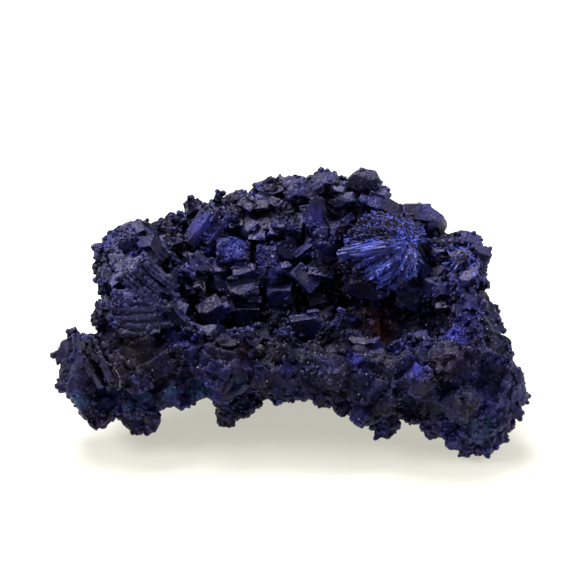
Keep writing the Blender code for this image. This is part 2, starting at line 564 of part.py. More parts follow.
def paint(crust):
    """Gives the stone its dark blue, glassy surface."""
    material = bpy.data.materials.new("azurite")
    material.use_nodes = True
    shader = material.node_tree.nodes["Principled BSDF"]
    shader.inputs["Base Color"].default_value = COLOUR
    shader.inputs["Roughness"].default_value = ROUGHNESS
    shader.inputs["Metallic"].default_value = 0.0
    crust.data.materials.clear()
    crust.data.materials.append(material)


def main():
    clear_scene()
    specimen = new_collection("azurite_specimen")
    crystals = new_collection("crystals")
    crust = fuse_lumps(specimen)
    raise_knobs(crust)
    press_pits(crust)
    thin_out(crust, CRUST_TRIANGLES)
    taken = add_placed_crystals(crystals)
    chooser = random.Random(SEED)
    strew_crystals(
        crust, crystals, taken, chooser, in_hollow, HOLLOW_COUNT, HOLLOW_SIZE, HOLLOW_SPACE, 0.0
    )
    strew_crystals(
        crust, crystals, taken, chooser, on_front, FRONT_COUNT, FRONT_SIZE, FRONT_SPACE, FRONT_SINK
    )
    strew_crystals(
        crust, crystals, taken, chooser, on_back, BACK_COUNT, BACK_SIZE, BACK_SPACE, BACK_SINK
    )
    join_crystals(crust, crystals)
    drop_crumbs(crust)
    flatten_feet(crust, specimen)
    centre_footprint(crust)
    paint(crust)


main()
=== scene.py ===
# %% [markdown]
# # An azurite specimen
# This lesson dresses one solid with the looks of a real mineral: a dished crust of dark blue azurite
# crystals. The solid gives the size and the main shape. Everything finer is made here: a broken, faceted
# skin, thousands of small crystals seated on it, a rosette of thin blades, and a stone material with dust
# and stains. The first cell loads the solid as a frame that is never moved.

# %% Load the frame
import json
import math

import bmesh
import bpy
import numpy as np
from mathutils import Matrix, Vector
from mathutils.bvhtree import BVHTree

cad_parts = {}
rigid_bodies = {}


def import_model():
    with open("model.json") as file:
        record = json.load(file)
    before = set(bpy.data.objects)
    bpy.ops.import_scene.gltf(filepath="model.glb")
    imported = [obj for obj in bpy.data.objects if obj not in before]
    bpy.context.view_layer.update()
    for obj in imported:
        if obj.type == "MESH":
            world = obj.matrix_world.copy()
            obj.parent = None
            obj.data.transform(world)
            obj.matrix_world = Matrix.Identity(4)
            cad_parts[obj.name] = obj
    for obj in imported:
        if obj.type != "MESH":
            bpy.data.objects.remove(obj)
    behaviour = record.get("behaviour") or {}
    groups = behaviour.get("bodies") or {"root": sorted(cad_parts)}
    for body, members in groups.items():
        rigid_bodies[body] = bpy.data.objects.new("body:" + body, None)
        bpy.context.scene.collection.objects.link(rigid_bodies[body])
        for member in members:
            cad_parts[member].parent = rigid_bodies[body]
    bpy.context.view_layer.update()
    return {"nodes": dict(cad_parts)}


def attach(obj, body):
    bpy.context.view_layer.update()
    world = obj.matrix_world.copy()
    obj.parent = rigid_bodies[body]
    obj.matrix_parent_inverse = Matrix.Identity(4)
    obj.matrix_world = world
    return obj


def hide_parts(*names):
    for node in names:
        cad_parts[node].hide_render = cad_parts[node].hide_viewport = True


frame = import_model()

MM = 0.001
NODE = "azurite_cluster"

# %% [markdown]
# ## The camera, the floor and the light
# A small specimen is usually shot from some way off through a long lens, so its far side looks as large as
# its near side. The camera stands 300 mm away, 30 degrees above the table, and the lens is worked out from
# how many millimetres the picture's width has to hold. The floor is a plain pale sheet. The light is a
# bright, even surround with one large soft lamp above and behind, because flat crystal faces only show
# when they mirror something bright.

# %% Camera
PICTURE = 575
PICTURE_WIDTH = 36.45 * MM
AIM = Vector((-0.21, 1.57, 6.9)) * MM
DISTANCE = 0.300
ELEVATION = math.radians(30)
SENSOR = 36.0

to_camera = Vector((0.0, -math.cos(ELEVATION), math.sin(ELEVATION)))
bpy.ops.object.camera_add(location=AIM + to_camera * DISTANCE)
camera = bpy.context.object
camera.name = "camera"
camera.rotation_mode = "QUATERNION"
camera.rotation_quaternion = (-to_camera).to_track_quat("-Z", "Y")
camera.data.sensor_width = SENSOR
camera.data.lens = SENSOR * DISTANCE / PICTURE_WIDTH
camera.data.clip_start = 0.01
bpy.context.scene.camera = camera
print("lens:", round(camera.data.lens), "mm")


# %% Floor
FLOOR_SIZE = 3.0
FLOOR_DROP = 0.02


def plain_material(name, colour, roughness):
    """A material of one colour, for what isn't part of the specimen."""
    material = bpy.data.materials.new(name)
    material.use_nodes = True
    shader = material.node_tree.nodes["Principled BSDF"]
    shader.inputs["Base Color"].default_value = (*colour, 1.0)
    shader.inputs["Roughness"].default_value = roughness
    return material


bpy.ops.mesh.primitive_plane_add(size=FLOOR_SIZE, location=(0.0, 0.0, -FLOOR_DROP * MM))
floor = bpy.context.object
floor.name = "floor"
sheet = plain_material("pale floor", (0.50, 0.50, 0.48), 0.9)
glow = sheet.node_tree.nodes["Principled BSDF"].inputs
glow["Emission Color"].default_value = (1.0, 0.98, 0.84, 1.0)
glow["Emission Strength"].default_value = 0.50
glow["Specular IOR Level"].default_value = 0.0
floor.data.materials.append(sheet)
print("floor:", FLOOR_SIZE, "m wide")

# %% [markdown]
# ## Lamps
# A studio would use soft boxes. A square area lamp is the same thing: the larger it is for its distance,
# the softer its shadow. The lamp above and behind draws the lit tops of the crystals, and two weak ones at
# the sides keep the ends of the specimen from sinking into black.

# %% Lamps
LAMPS = [
    # name, place in m, side in m, power in W
    ("lamp above", (-0.05, 0.12, 0.28), 0.18, 1.45),
    ("lamp left", (-0.26, -0.06, 0.20), 0.12, 0.6),
    ("lamp right", (0.26, -0.02, 0.10), 0.14, 0.35),
]
for name, place, size, power in LAMPS:
    bpy.ops.object.light_add(type="AREA", location=place)
    lamp = bpy.context.object
    lamp.name = name
    lamp.data.size = size
    lamp.data.energy = power
    lamp.rotation_mode = "QUATERNION"
    lamp.rotation_quaternion = (AIM - Vector(place)).to_track_quat("-Z", "Y")
print("lamps:", len(LAMPS))

# %% [markdown]
# ## The surround
# The rest of the light comes from all around. A ramp over the direction makes the surround dim on the
# camera's side and bright behind, which is what gives dark glassy faces their contrast. The camera itself
# sees plain white there.

# %% Surround
def surround(front, back, above):
    """A white surround that is brighter behind and above the specimen than at the camera's side."""
    made = bpy.data.worlds.new("surround")
    made.use_nodes = True
    nodes, links = made.node_tree.nodes, made.node_tree.links
    paint = nodes["Background"]
    place = nodes.new("ShaderNodeTexCoord")
    split = nodes.new("ShaderNodeSeparateXYZ")
    links.new(place.outputs["Generated"], split.inputs[0])
    depth = nodes.new("ShaderNodeMapRange")
    depth.inputs["From Min"].default_value = -0.7
    depth.inputs["From Max"].default_value = 0.7
    depth.inputs["To Min"].default_value = front
    depth.inputs["To Max"].default_value = back
    links.new(split.outputs["Y"], depth.inputs["Value"])
    height = nodes.new("ShaderNodeMath")
    height.operation = "MULTIPLY_ADD"
    height.inputs[1].default_value = above
    links.new(split.outputs["Z"], height.inputs[0])
    links.new(depth.outputs["Result"], height.inputs[2])
    seen = nodes.new("ShaderNodeLightPath")
    choose = nodes.new("ShaderNodeMix")
    choose.data_type = "FLOAT"
    links.new(seen.outputs["Is Camera Ray"], choose.inputs["Factor"])
    links.new(height.outputs[0], choose.inputs["A"])
    choose.inputs["B"].default_value = 1.0
    links.new(choose.outputs["Result"], paint.inputs["Strength"])
    paint.inputs["Color"].default_value = (1.0, 1.0, 0.985, 1.0)
    return made


bpy.context.scene.world = surround(0.18, 0.62, 0.14)
bpy.context.scene.view_settings.view_transform = "Standard"
print("surround:", bpy.context.scene.world.name)

# %% [markdown]
# ## Selecting and reading
# An operator works on all that is selected, so each step starts by clearing the selection and picking its
# own object. Reading all corner points at once into rows of numbers is much faster than one by one.

# %% Selecting and reading
def deselect():
    """Clears the selection, because operators act on all that is selected."""
    if bpy.context.object and bpy.context.object.mode != "OBJECT":
        bpy.ops.object.mode_set(mode="OBJECT")
    bpy.ops.object.select_all(action="DESELECT")


def pick(obj):
    """Makes one object the selected and active one."""
    deselect()
    obj.select_set(True)
    bpy.context.view_layer.objects.active = obj


def read_points(mesh, name="co"):
    """All the corner points of a mesh, or their normals, as rows of three."""
    values = np.empty(len(mesh.vertices) * 3)
    mesh.vertices.foreach_get(name, values)
    return values.reshape(-1, 3)


def triangles_of(obj):
    """How many triangles an object's faces come to."""
    return sum(len(polygon.vertices) - 2 for polygon in obj.data.polygons)


print("solid's triangles:", triangles_of(frame["nodes"][NODE]))

# %% [markdown]
# ## Carving
# The small crystals are all carved the same way: a cube is cut by planes until it is an irregular block,
# as a mineral is that grew against its neighbours, and raised terraces are then grown on its faces. Every
# finished shape is brought to the size of one and kept on a shelf, from which it is copied later.

# %% Carving
shelf = bpy.data.collections.new("crystal shapes")
bpy.context.scene.collection.children.link(shelf)


def cut_corner(direction, depth):
    """Slices everything off that lies beyond a plane, and closes the cut with a face."""
    bpy.ops.mesh.select_all(action="SELECT")
    normal = Vector(direction).normalized()
    bpy.ops.mesh.bisect(
        plane_co=normal * depth, plane_no=normal, use_fill=True, clear_outer=True, clear_inner=False
    )


def grow_terrace(obj, rng, inset, rise):
    """Raises a smaller copy of one large face, so that it looks like a growth step."""
    shape = bmesh.from_edit_mesh(obj.data)
    largest = sorted(shape.faces, key=lambda face: -face.calc_area())
    chosen = largest[int(rng.integers(0, 4))]
    for face in shape.faces:
        face.select_set(face is chosen)
    shape.select_flush_mode()
    bmesh.update_edit_mesh(obj.data)
    bpy.ops.mesh.inset(thickness=inset, depth=rise)


def fill_unit_box(obj):
    """Moves and stretches the mesh so that it exactly fills a cube of side one."""
    points = np.array([v.co[:] for v in obj.data.vertices])
    low, high = points.min(axis=0), points.max(axis=0)
    middle = Matrix.Translation(Vector(-(low + high) / 2))
    obj.data.transform(Matrix.Diagonal((*(1.0 / (high - low)), 1.0)) @ middle)


def new_collection(name):
    """A collection on the shelf, one for each kind of crystal."""
    made = bpy.data.collections.new(name)
    shelf.children.link(made)
    return made


def carve_crystals(kind, variants, corner_cuts, terraces, depth, seed, worn=0.0):
    """Irregular blocks, each made from a cube. Depth is how far out the cuts are: smaller cuts off more."""
    home = new_collection(kind)
    rng = np.random.default_rng(seed)
    for index in range(variants):
        deselect()
        bpy.ops.mesh.primitive_cube_add(size=1.0)
        block = bpy.context.object
        block.name = f"{kind}_{index}"
        bpy.ops.object.mode_set(mode="EDIT")
        for _ in range(corner_cuts):
            direction = rng.choice([-1.0, 1.0], 3) * rng.uniform(0.15, 1.0, 3)
            cut_corner(direction, depth * rng.uniform(0.85, 1.15))
        for _ in range(terraces):
            grow_terrace(block, rng, rng.uniform(0.04, 0.12), rng.uniform(0.02, 0.07))
        if worn:
            bpy.ops.mesh.select_all(action="SELECT")
            bpy.ops.mesh.bevel(offset=worn, segments=1, affect="EDGES", clamp_overlap=True)
        bpy.ops.object.mode_set(mode="OBJECT")
        put_away(block, home)
    return home


def put_away(obj, home):
    """Brings a finished shape to the unit size and moves it to its collection."""
    fill_unit_box(obj)
    for owner in list(obj.users_collection):
        owner.objects.unlink(obj)
    home.objects.link(obj)


def round_pebbles(kind, variants, fineness, uneven, seed):
    """Rounded granules: balls that are pushed out of shape and shaded smooth."""
    home = new_collection(kind)
    rng = np.random.default_rng(seed)
    for index in range(variants):
        deselect()
        bpy.ops.mesh.primitive_ico_sphere_add(subdivisions=fineness, radius=0.5)
        pebble = bpy.context.object
        pebble.name = f"{kind}_{index}"
        points = read_points(pebble.data)
        lumps = sum(np.sin(points @ rng.normal(0, 5, 3) + rng.uniform(0, 6)) for _ in range(3)) / 3
        points *= (1.0 + uneven * lumps)[:, None]
        pebble.data.vertices.foreach_set("co", points.ravel())
        bpy.ops.object.shade_smooth()
        put_away(pebble, home)
    return home


# %% [markdown]
# ## The shapes
# Azurite shows many habits in one specimen. Blocks, stumps and laths have terraces and slightly worn edges.
# Boulders are cut many times and worn most. Plates and blades only differ in how they are stretched when
# they are planted. Grains, knobs and specks are seen by the thousand, so they have very few faces.

# %% Shapes
grains = carve_crystals("grain", variants=8, corner_cuts=3, terraces=0, depth=0.50, seed=1)
knobs = round_pebbles("knob", variants=8, fineness=1, uneven=0.16, seed=6)
boulders = carve_crystals("boulder", variants=5, corner_cuts=9, terraces=0, depth=0.46, seed=10, worn=0.12)
specks = carve_crystals("speck", variants=3, corner_cuts=1, terraces=0, depth=0.45, seed=9)
blocks = carve_crystals("block", variants=8, corner_cuts=3, terraces=6, depth=0.60, seed=2, worn=0.022)
stumps = carve_crystals("stump", variants=8, corner_cuts=3, terraces=2, depth=0.58, seed=7, worn=0.03)
plates = carve_crystals("plate", variants=5, corner_cuts=5, terraces=3, depth=0.52, seed=3)
blades = carve_crystals("blade", variants=4, corner_cuts=4, terraces=0, depth=0.50, seed=4)
laths = carve_crystals("lath", variants=5, corner_cuts=3, terraces=4, depth=0.58, seed=8, worn=0.02)

# %% [markdown]
# ## Planting
# Geometry Nodes puts a crystal on every point of a cloud. Each point carries its crystal's turn, size and
# shape number as attributes, so all the choosing is done in plain code and the node tree stays the same.
# The instances are made real at once, because a modelling file should hold true meshes.

# %% Planting tree
def plant_tree():
    """The node tree that turns a cloud of points into real crystals."""
    tree = bpy.data.node_groups.new("plant crystals", "GeometryNodeTree")
    tree.interface.new_socket("Geometry", in_out="INPUT", socket_type="NodeSocketGeometry")
    tree.interface.new_socket("Shapes", in_out="INPUT", socket_type="NodeSocketCollection")
    tree.interface.new_socket("Geometry", in_out="OUTPUT", socket_type="NodeSocketGeometry")
    nodes, links = tree.nodes, tree.links
    start = nodes.new("NodeGroupInput")
    end = nodes.new("NodeGroupOutput")
    shapes = nodes.new("GeometryNodeCollectionInfo")
    shapes.inputs["Separate Children"].default_value = True
    shapes.inputs["Reset Children"].default_value = True
    place = nodes.new("GeometryNodeInstanceOnPoints")
    place.inputs["Pick Instance"].default_value = True
    real = nodes.new("GeometryNodeRealizeInstances")
    links.new(start.outputs["Shapes"], shapes.inputs["Collection"])
    links.new(start.outputs["Geometry"], place.inputs["Points"])
    links.new(shapes.outputs["Instances"], place.inputs["Instance"])
    for name, kind, socket in (
        ("turn", "QUATERNION", "Rotation"),
        ("size", "FLOAT_VECTOR", "Scale"),
        ("shape", "INT", "Instance Index"),
    ):
        read = nodes.new("GeometryNodeInputNamedAttribute")
        read.data_type = kind
        read.inputs["Name"].default_value = name
        links.new(read.outputs["Attribute"], place.inputs[socket])
    links.new(place.outputs["Instances"], real.inputs["Geometry"])
    links.new(real.outputs["Geometry"], end.inputs["Geometry"])
    return tree


PLANT = plant_tree()
print("planting nodes:", len(PLANT.nodes))

# %% [markdown]
# ## A crystal's row
# Every crystal is one row of plain numbers: its centre, its length, width and thickness, the way its
# length runs and the way its broad side looks. A row can be moved, copied or left out before any mesh is
# made, which is why the crystals are handled as rows for as long as possible.

# %% Planting a piece
SHAPE_CHOICES = 99


def turn_of(along, face):
    """The turn that lays a crystal's length along one direction and its broad side towards another."""
    x = Vector(along).normalized()
    z = Vector(face)
    z = (z - x * z.dot(x)).normalized()
    return Matrix((x, z.cross(x), z)).transposed().to_quaternion()


def plant(name, shapes, crystals, seed):
    """One piece from rows of (centre in mm, (length, width, thickness) in mm, along, face)."""
    rng = np.random.default_rng(seed)
    mesh = bpy.data.meshes.new(name)
    mesh.from_pydata([Vector(row[0]) * MM for row in crystals], [], [])
    turns = [turn_of(row[2], row[3])[:] for row in crystals]
    sizes = [[side * MM for side in row[1]] for row in crystals]
    count = len(crystals)
    mesh.attributes.new("turn", "QUATERNION", "POINT").data.foreach_set("value", np.ravel(turns))
    mesh.attributes.new("size", "FLOAT_VECTOR", "POINT").data.foreach_set("vector", np.ravel(sizes))
    chosen = rng.integers(0, SHAPE_CHOICES, count)
    mesh.attributes.new("shape", "INT", "POINT").data.foreach_set("value", chosen)
    mesh.attributes.new("tint", "FLOAT", "POINT").data.foreach_set("value", rng.random(count))
    piece = bpy.data.objects.new(name, mesh)
    bpy.context.scene.collection.objects.link(piece)
    pick(piece)
    grow = piece.modifiers.new("plant", "NODES")
    grow.node_group = PLANT
    grow["Socket_1"] = shapes
    bpy.ops.object.modifier_apply(modifier="plant")
    print(name, "crystals:", count, "triangles:", triangles_of(piece))
    return piece


# %% [markdown]
# ## The ground that everything grows on
# The solid's own mesh is left alone, and a copy of it is merged into one skin, so that rays and crystals
# have a closed surface to land on.

# %% Ground
MERGE = 0.001
# where the specimen's middle lies in the frame, in mm, seen from where the rows below were measured
HOME = Vector((0.137, -0.428, 0.0))

ground = frame["nodes"][NODE].copy()
ground.data = frame["nodes"][NODE].data.copy()
ground.name = "ground"
bpy.context.scene.collection.objects.link(ground)
ground.parent = None
ground.matrix_world = Matrix.Identity(4)
pick(ground)
bpy.ops.object.mode_set(mode="EDIT")
bpy.ops.mesh.select_all(action="SELECT")
bpy.ops.mesh.remove_doubles(threshold=MERGE * MM)
bpy.ops.mesh.normals_make_consistent(inside=False)
bpy.ops.object.mode_set(mode="OBJECT")
ground_tree = BVHTree.FromObject(ground, bpy.context.evaluated_depsgraph_get())
print("ground triangles:", triangles_of(ground))

# %% [markdown]
# ## Sowing
# Spots for crystals are drawn at random, with the same seed each time: a face's chance is its area times
# a weight for its zone, and a spot too near an earlier one is dropped. A grid of cells as wide as the gap
# keeps this fast, because only the neighbouring cells have to be searched.

# %% Sowing
TRIES_PER_SPOT = 3


def faces_of(obj):
    """Corner points, normals and areas of an object's triangles, in mm."""
    mesh = obj.data
    mesh.calc_loop_triangles()
    points = read_points(mesh)
    corners = np.empty(len(mesh.loop_triangles) * 3, dtype=np.int32)
    mesh.loop_triangles.foreach_get("vertices", corners)
    triangles = points[corners.reshape(-1, 3)] / MM
    cross = np.cross(triangles[:, 1] - triangles[:, 0], triangles[:, 2] - triangles[:, 0])
    length = np.linalg.norm(cross, axis=1)
    return triangles, cross / np.maximum(length, 1e-12)[:, None], length / 2


def sow(host, weight, count, gap, rng):
    """Random spots on the host where the weight is high, each at least a gap from the others, in mm."""
    triangles, normals, areas = faces_of(host)
    chance = areas * weight(triangles.mean(axis=1), normals)
    tries = rng.choice(len(chance), count * TRIES_PER_SPOT, p=chance / chance.sum())
    u, v = rng.random(len(tries)), rng.random(len(tries))
    over = u + v > 1
    u[over], v[over] = 1 - u[over], 1 - v[over]
    a, b, c = (triangles[tries, corner] for corner in range(3))
    points = a + (b - a) * u[:, None] + (c - a) * v[:, None]
    kept, cells = [], {}
    for index, point in enumerate(points):
        cell = tuple((point // gap).astype(int))
        near = (
            other
            for dx in (-1, 0, 1)
            for dy in (-1, 0, 1)
            for dz in (-1, 0, 1)
            for other in cells.get((cell[0] + dx, cell[1] + dy, cell[2] + dz), ())
        )
        if all(((points[other] - point) ** 2).sum() > gap * gap for other in near):
            cells.setdefault(cell, []).append(index)
            kept.append(index)
            if len(kept) == count:
                break
    return points[kept], normals[tries[kept]]


print("ground area:", round(float(faces_of(ground)[2].sum())), "square mm")

# %% [markdown]
# ## From the picture to the stone
# Some crystals and stains are placed by where they are seen in the picture. A ray from the camera through
# that place finds the spot on the surface, so the thing sits on the stone and not in the air before it.

# %% Seen at
def seen_at(x, y, tree):
    """The spot on a surface that the camera sees at that place in the picture, and its normal, in mm."""
    scale = PICTURE_WIDTH / PICTURE
    up = Vector((0.0, math.sin(ELEVATION), math.cos(ELEVATION)))
    target = AIM + Vector((1, 0, 0)) * (x - PICTURE / 2) * scale + up * (PICTURE / 2 - y) * scale
    start = camera.location
    point, normal, _, _ = tree.ray_cast(start, (target - start).normalized())
    return (None, None) if point is None else (point / MM, normal)


print("the middle of the picture shows:", seen_at(PICTURE / 2, PICTURE / 2, ground_tree)[0])

# %% [markdown]
# ## Zones
# The real crust has two kinds of ground. Outside, on the rim, the feet, the flanks and the underside, it
# is a mass of rounded, crumbly lumps. Inside, in the hollow and up to the ridge, it is built of crystals
# with flat faces. One number for each spot says how much it belongs to the outside.

# %% Zones
# where each border starts and where it is passed: places in mm, and looks as parts of a normal
IN_FRONT, LOOKS_DOWN = (3.9, 4.9), (0.1, 0.4)
LOOKS_BACK, BEHIND = (0.3, 0.6), (1.0, 3.0)
LOOKS_ASIDE, TO_THE_SIDE = (0.6, 0.8), (9.5, 11.0)


def ramp(values, low, high):
    """Zero below low, one above high, and a straight line between them."""
    return np.clip((values - low) / (high - low), 0.0, 1.0)


def outside(points, normals):
    """One on the rim, the feet, the flanks, the back and the underside, and zero in the hollow."""
    front = ramp(-points[:, 1], *IN_FRONT)
    under = ramp(-normals[:, 2], *LOOKS_DOWN)
    back = ramp(normals[:, 1], *LOOKS_BACK) * ramp(points[:, 1], *BEHIND)
    flank = ramp(np.abs(normals[:, 0]), *LOOKS_ASIDE) * ramp(np.abs(points[:, 0]), *TO_THE_SIDE)
    return np.maximum.reduce([front, under, back, flank])


def inside(points, normals):
    """One in the hollow and on the ridge."""
    return 1.0 - outside(points, normals)


outer_share = outside(read_points(ground.data) / MM, read_points(ground.data, "normal")).mean()
print("outside share of the ground:", round(float(outer_share), 2))

# %% [markdown]
# ## Crystals that have a place of their own
# These are the large crystals that give the specimen its character. Each row is the centre and the size
# in mm, the way the length runs and the way the broad face looks. The shoulder on the left is a pile of
# stair-stepped slabs, the ridge a row of blocks, and the ridge's right end a few large worn boulders.

# %% Shoulder and ridge
SHOULDER = [
    ((-10.7, 1.4, 10.2), (2.3, 1.9, 1.9), (1.0, 0.2, 0.4), (-0.4, -0.2, 1.0)),
    ((-10.2, 2.0, 10.9), (1.7, 1.3, 0.8), (1.0, 0.3, 0.35), (-0.35, -0.4, 1.0)),
    ((-11.4, 1.2, 10.2), (1.3, 1.1, 1.0), (1.0, -0.3, 0.2), (-0.5, -0.3, 1.0)),
    ((-9.0, 1.6, 9.6), (2.0, 1.8, 0.9), (0.7, -0.4, -0.6), (0.3, -0.9, 0.4)),
    ((-11.7, -1.2, 9.1), (1.6, 1.4, 1.4), (1.0, 0.2, -0.25), (0.2, -0.3, 1.0)),
    ((-10.9, -1.1, 9.9), (1.1, 1.0, 1.0), (1.0, 0.4, 0.0), (0.0, -0.3, 1.0)),
    ((-11.1, -4.2, 8.1), (0.9, 0.8, 1.1), (1.0, -0.2, 0.0), (0.0, -0.2, 1.0)),
    ((-9.6, -5.1, 7.5), (1.9, 1.0, 0.5), (1.0, -0.2, 0.45), (-0.3, -0.6, 0.7)),
    ((-12.1, -3.0, 7.3), (1.1, 1.2, 1.2), (1.0, 0.5, 0.1), (-0.3, -0.2, 1.0)),
    ((-9.75, -4.05, 9.4), (3.1, 1.6, 0.36), (1.0, -0.06, 0.04), (0.0, -0.5, 1.0)),
    ((-9.85, -4.4, 8.96), (3.5, 1.5, 0.36), (1.0, -0.03, 0.06), (0.0, -0.5, 1.0)),
    ((-9.7, -4.7, 8.5), (3.3, 1.5, 0.38), (1.0, -0.08, 0.0), (0.05, -0.45, 1.0)),
    ((-9.5, -4.95, 8.05), (2.9, 1.4, 0.38), (1.0, -0.02, 0.08), (0.0, -0.5, 1.0)),
]
RIDGE = [
    ((-8.4, 5.6, 9.2), (1.9, 1.4, 0.5), (1.0, 0.0, 0.0), (0.0, -0.1, 1.0)),
    ((-7.8, 4.6, 8.8), (1.3, 1.2, 1.1), (1.0, 0.4, 0.2), (0.2, -0.5, 0.9)),
    ((-7.3, 6.2, 9.3), (1.0, 1.0, 1.0), (1.0, 0.2, 0.3), (-0.3, -0.3, 1.0)),
    ((-6.3, 7.0, 9.85), (1.1, 1.0, 0.8), (1.0, 0.3, 0.0), (0.1, -0.2, 1.0)),
    ((-5.6, 6.7, 10.0), (0.8, 0.8, 0.9), (1.0, -0.3, 0.2), (0.0, -0.4, 1.0)),
    ((-4.7, 7.4, 9.95), (1.2, 1.0, 0.8), (1.0, 0.1, 0.1), (-0.1, -0.3, 1.0)),
    ((-3.7, 7.5, 10.2), (1.0, 0.9, 0.9), (1.0, 0.3, -0.1), (0.2, -0.4, 1.0)),
    ((-2.9, 7.7, 10.1), (0.8, 0.8, 0.8), (1.0, 0.0, 0.2), (0.0, -0.2, 1.0)),
    ((-1.4, 7.9, 10.6), (1.6, 1.4, 1.2), (1.0, 0.2, 0.3), (-0.3, -0.5, 0.9)),
    ((0.1, 8.0, 10.85), (1.6, 1.4, 1.1), (1.0, 0.1, 0.15), (-0.1, -0.5, 0.9)),
    ((2.9, 7.2, 11.1), (1.1, 1.0, 0.9), (1.0, -0.4, 0.0), (0.1, -0.4, 1.0)),
    ((5.6, 7.3, 10.6), (1.1, 1.0, 1.1), (1.0, -0.5, 0.0), (0.3, -0.3, 1.0)),
    ((5.9, 6.6, 9.9), (1.5, 1.2, 1.3), (1.0, -0.3, -0.5), (0.4, -0.4, 0.9)),
]
BOULDERS = [
    ((1.9, 7.9, 11.2), (1.8, 1.5, 1.5), (1.0, 0.2, -0.1), (0.1, -0.3, 1.0)),
    ((4.3, 7.8, 11.25), (2.2, 1.5, 1.7), (1.0, 0.3, -0.1), (0.0, -0.2, 1.0)),
    ((3.3, 6.6, 10.6), (1.5, 1.0, 1.1), (1.0, 0.0, 0.3), (0.1, -0.5, 1.0)),
    ((4.9, 6.6, 10.4), (1.5, 1.1, 1.2), (1.0, -0.2, -0.3), (0.1, -0.5, 1.0)),
    ((7.6, 6.5, 9.5), (2.0, 2.0, 2.1), (1.0, 0.2, -0.3), (0.2, -0.4, 1.0)),
    ((9.1, 6.0, 9.25), (1.9, 1.6, 1.7), (1.0, 0.1, -0.2), (0.2, -0.3, 1.0)),
    ((11.0, 4.4, 8.8), (1.8, 1.5, 1.5), (1.0, 0.2, -0.2), (0.1, -0.4, 1.0)),
    ((11.7, 3.1, 8.6), (1.3, 1.3, 1.5), (1.0, 0.2, -0.5), (0.1, -0.2, 1.0)),
]
print("shoulder and ridge:", len(SHOULDER), len(RIDGE), len(BOULDERS))

# %% [markdown]
# ## Slope, right end and rim
# Below the ridge the crystals form steps down into the hollow. Each step is a block whose top looks up and
# a little forwards, so the light from behind draws its upper face.

# %% Slope, right end and rim
SLOPE = [
    ((-3.6, 5.6, 9.5), (0.9, 0.8, 0.4), (1.0, 0.0, 0.1), (0.0, -0.2, 1.0)),
    ((-4.2, 4.9, 8.5), (1.1, 0.8, 0.4), (1.0, 0.1, 0.1), (0.0, -0.4, 0.9)),
    ((-2.3, 5.2, 8.6), (1.1, 1.1, 1.2), (1.0, 0.0, 0.0), (0.0, -0.35, 1.0)),
    ((-0.3, 5.5, 9.4), (1.9, 1.5, 1.2), (1.0, -0.1, -0.1), (0.05, -0.35, 1.0)),
    ((-1.9, 6.9, 10.1), (1.6, 1.1, 0.7), (1.0, 0.1, 0.0), (0.1, -0.3, 1.0)),
    ((-1.9, 5.9, 9.2), (1.2, 0.9, 0.6), (1.0, -0.2, 0.1), (0.0, -0.5, 1.0)),
    ((1.3, 5.2, 8.6), (0.9, 0.8, 0.7), (1.0, 0.3, 0.2), (0.0, -0.5, 0.9)),
    ((1.9, 4.6, 8.7), (2.1, 0.8, 0.7), (0.05, 0.6, 1.2), (-0.3, -0.9, 0.3)),
    ((2.8, 4.4, 8.7), (1.7, 0.9, 0.6), (0.2, 0.5, 1.1), (0.6, -0.7, 0.2)),
    ((-0.5, 4.6, 8.1), (1.6, 1.3, 0.9), (1.0, 0.2, 0.1), (0.1, -0.8, 0.6)),
    ((0.6, 4.4, 8.2), (1.5, 0.5, 0.5), (1.0, 0.4, 0.5), (-0.3, -0.5, 0.8)),
    ((-1.7, 4.0, 7.9), (1.3, 1.3, 1.2), (1.0, 0.0, 0.0), (0.1, -0.6, 0.8)),
    ((-1.9, 2.9, 7.2), (1.4, 0.9, 0.5), (0.1, 0.3, 1.0), (0.9, -0.5, 0.0)),
    ((-1.3, 2.9, 7.1), (1.3, 0.8, 0.5), (0.3, 0.3, 1.0), (0.6, -0.7, 0.0)),
    ((-0.5, 3.4, 7.6), (0.8, 0.6, 0.5), (1.0, 0.3, 0.1), (0.0, -0.3, 1.0)),
    ((0.7, 3.0, 6.9), (1.9, 1.2, 0.8), (1.2, -0.6, -1.1), (0.2, -0.5, 0.8)),
    ((1.8, 3.2, 7.2), (1.7, 0.7, 0.4), (1.0, -0.05, -0.15), (0.0, -0.3, 1.0)),
    ((-3.2, 2.2, 6.4), (2.0, 1.2, 1.2), (1.0, 0.05, -0.05), (0.0, -0.45, 1.0)),
    ((-3.1, 3.1, 7.2), (1.5, 1.2, 1.6), (1.0, 0.1, 0.1), (0.0, -0.4, 1.0)),
    ((-3.8, 4.1, 8.1), (2.0, 1.7, 1.6), (1.0, -0.1, 0.1), (0.0, -0.5, 0.9)),
    ((-6.0, 3.0, 7.9), (1.7, 1.4, 1.1), (1.0, 0.3, -0.4), (0.1, -0.5, 0.8)),
    ((-7.0, 2.0, 7.9), (1.6, 0.9, 0.5), (1.0, 0.1, -0.1), (0.0, -0.3, 1.0)),
    ((-6.4, 1.6, 7.1), (1.0, 0.9, 0.9), (1.0, 0.3, 0.0), (0.1, -0.3, 1.0)),
]
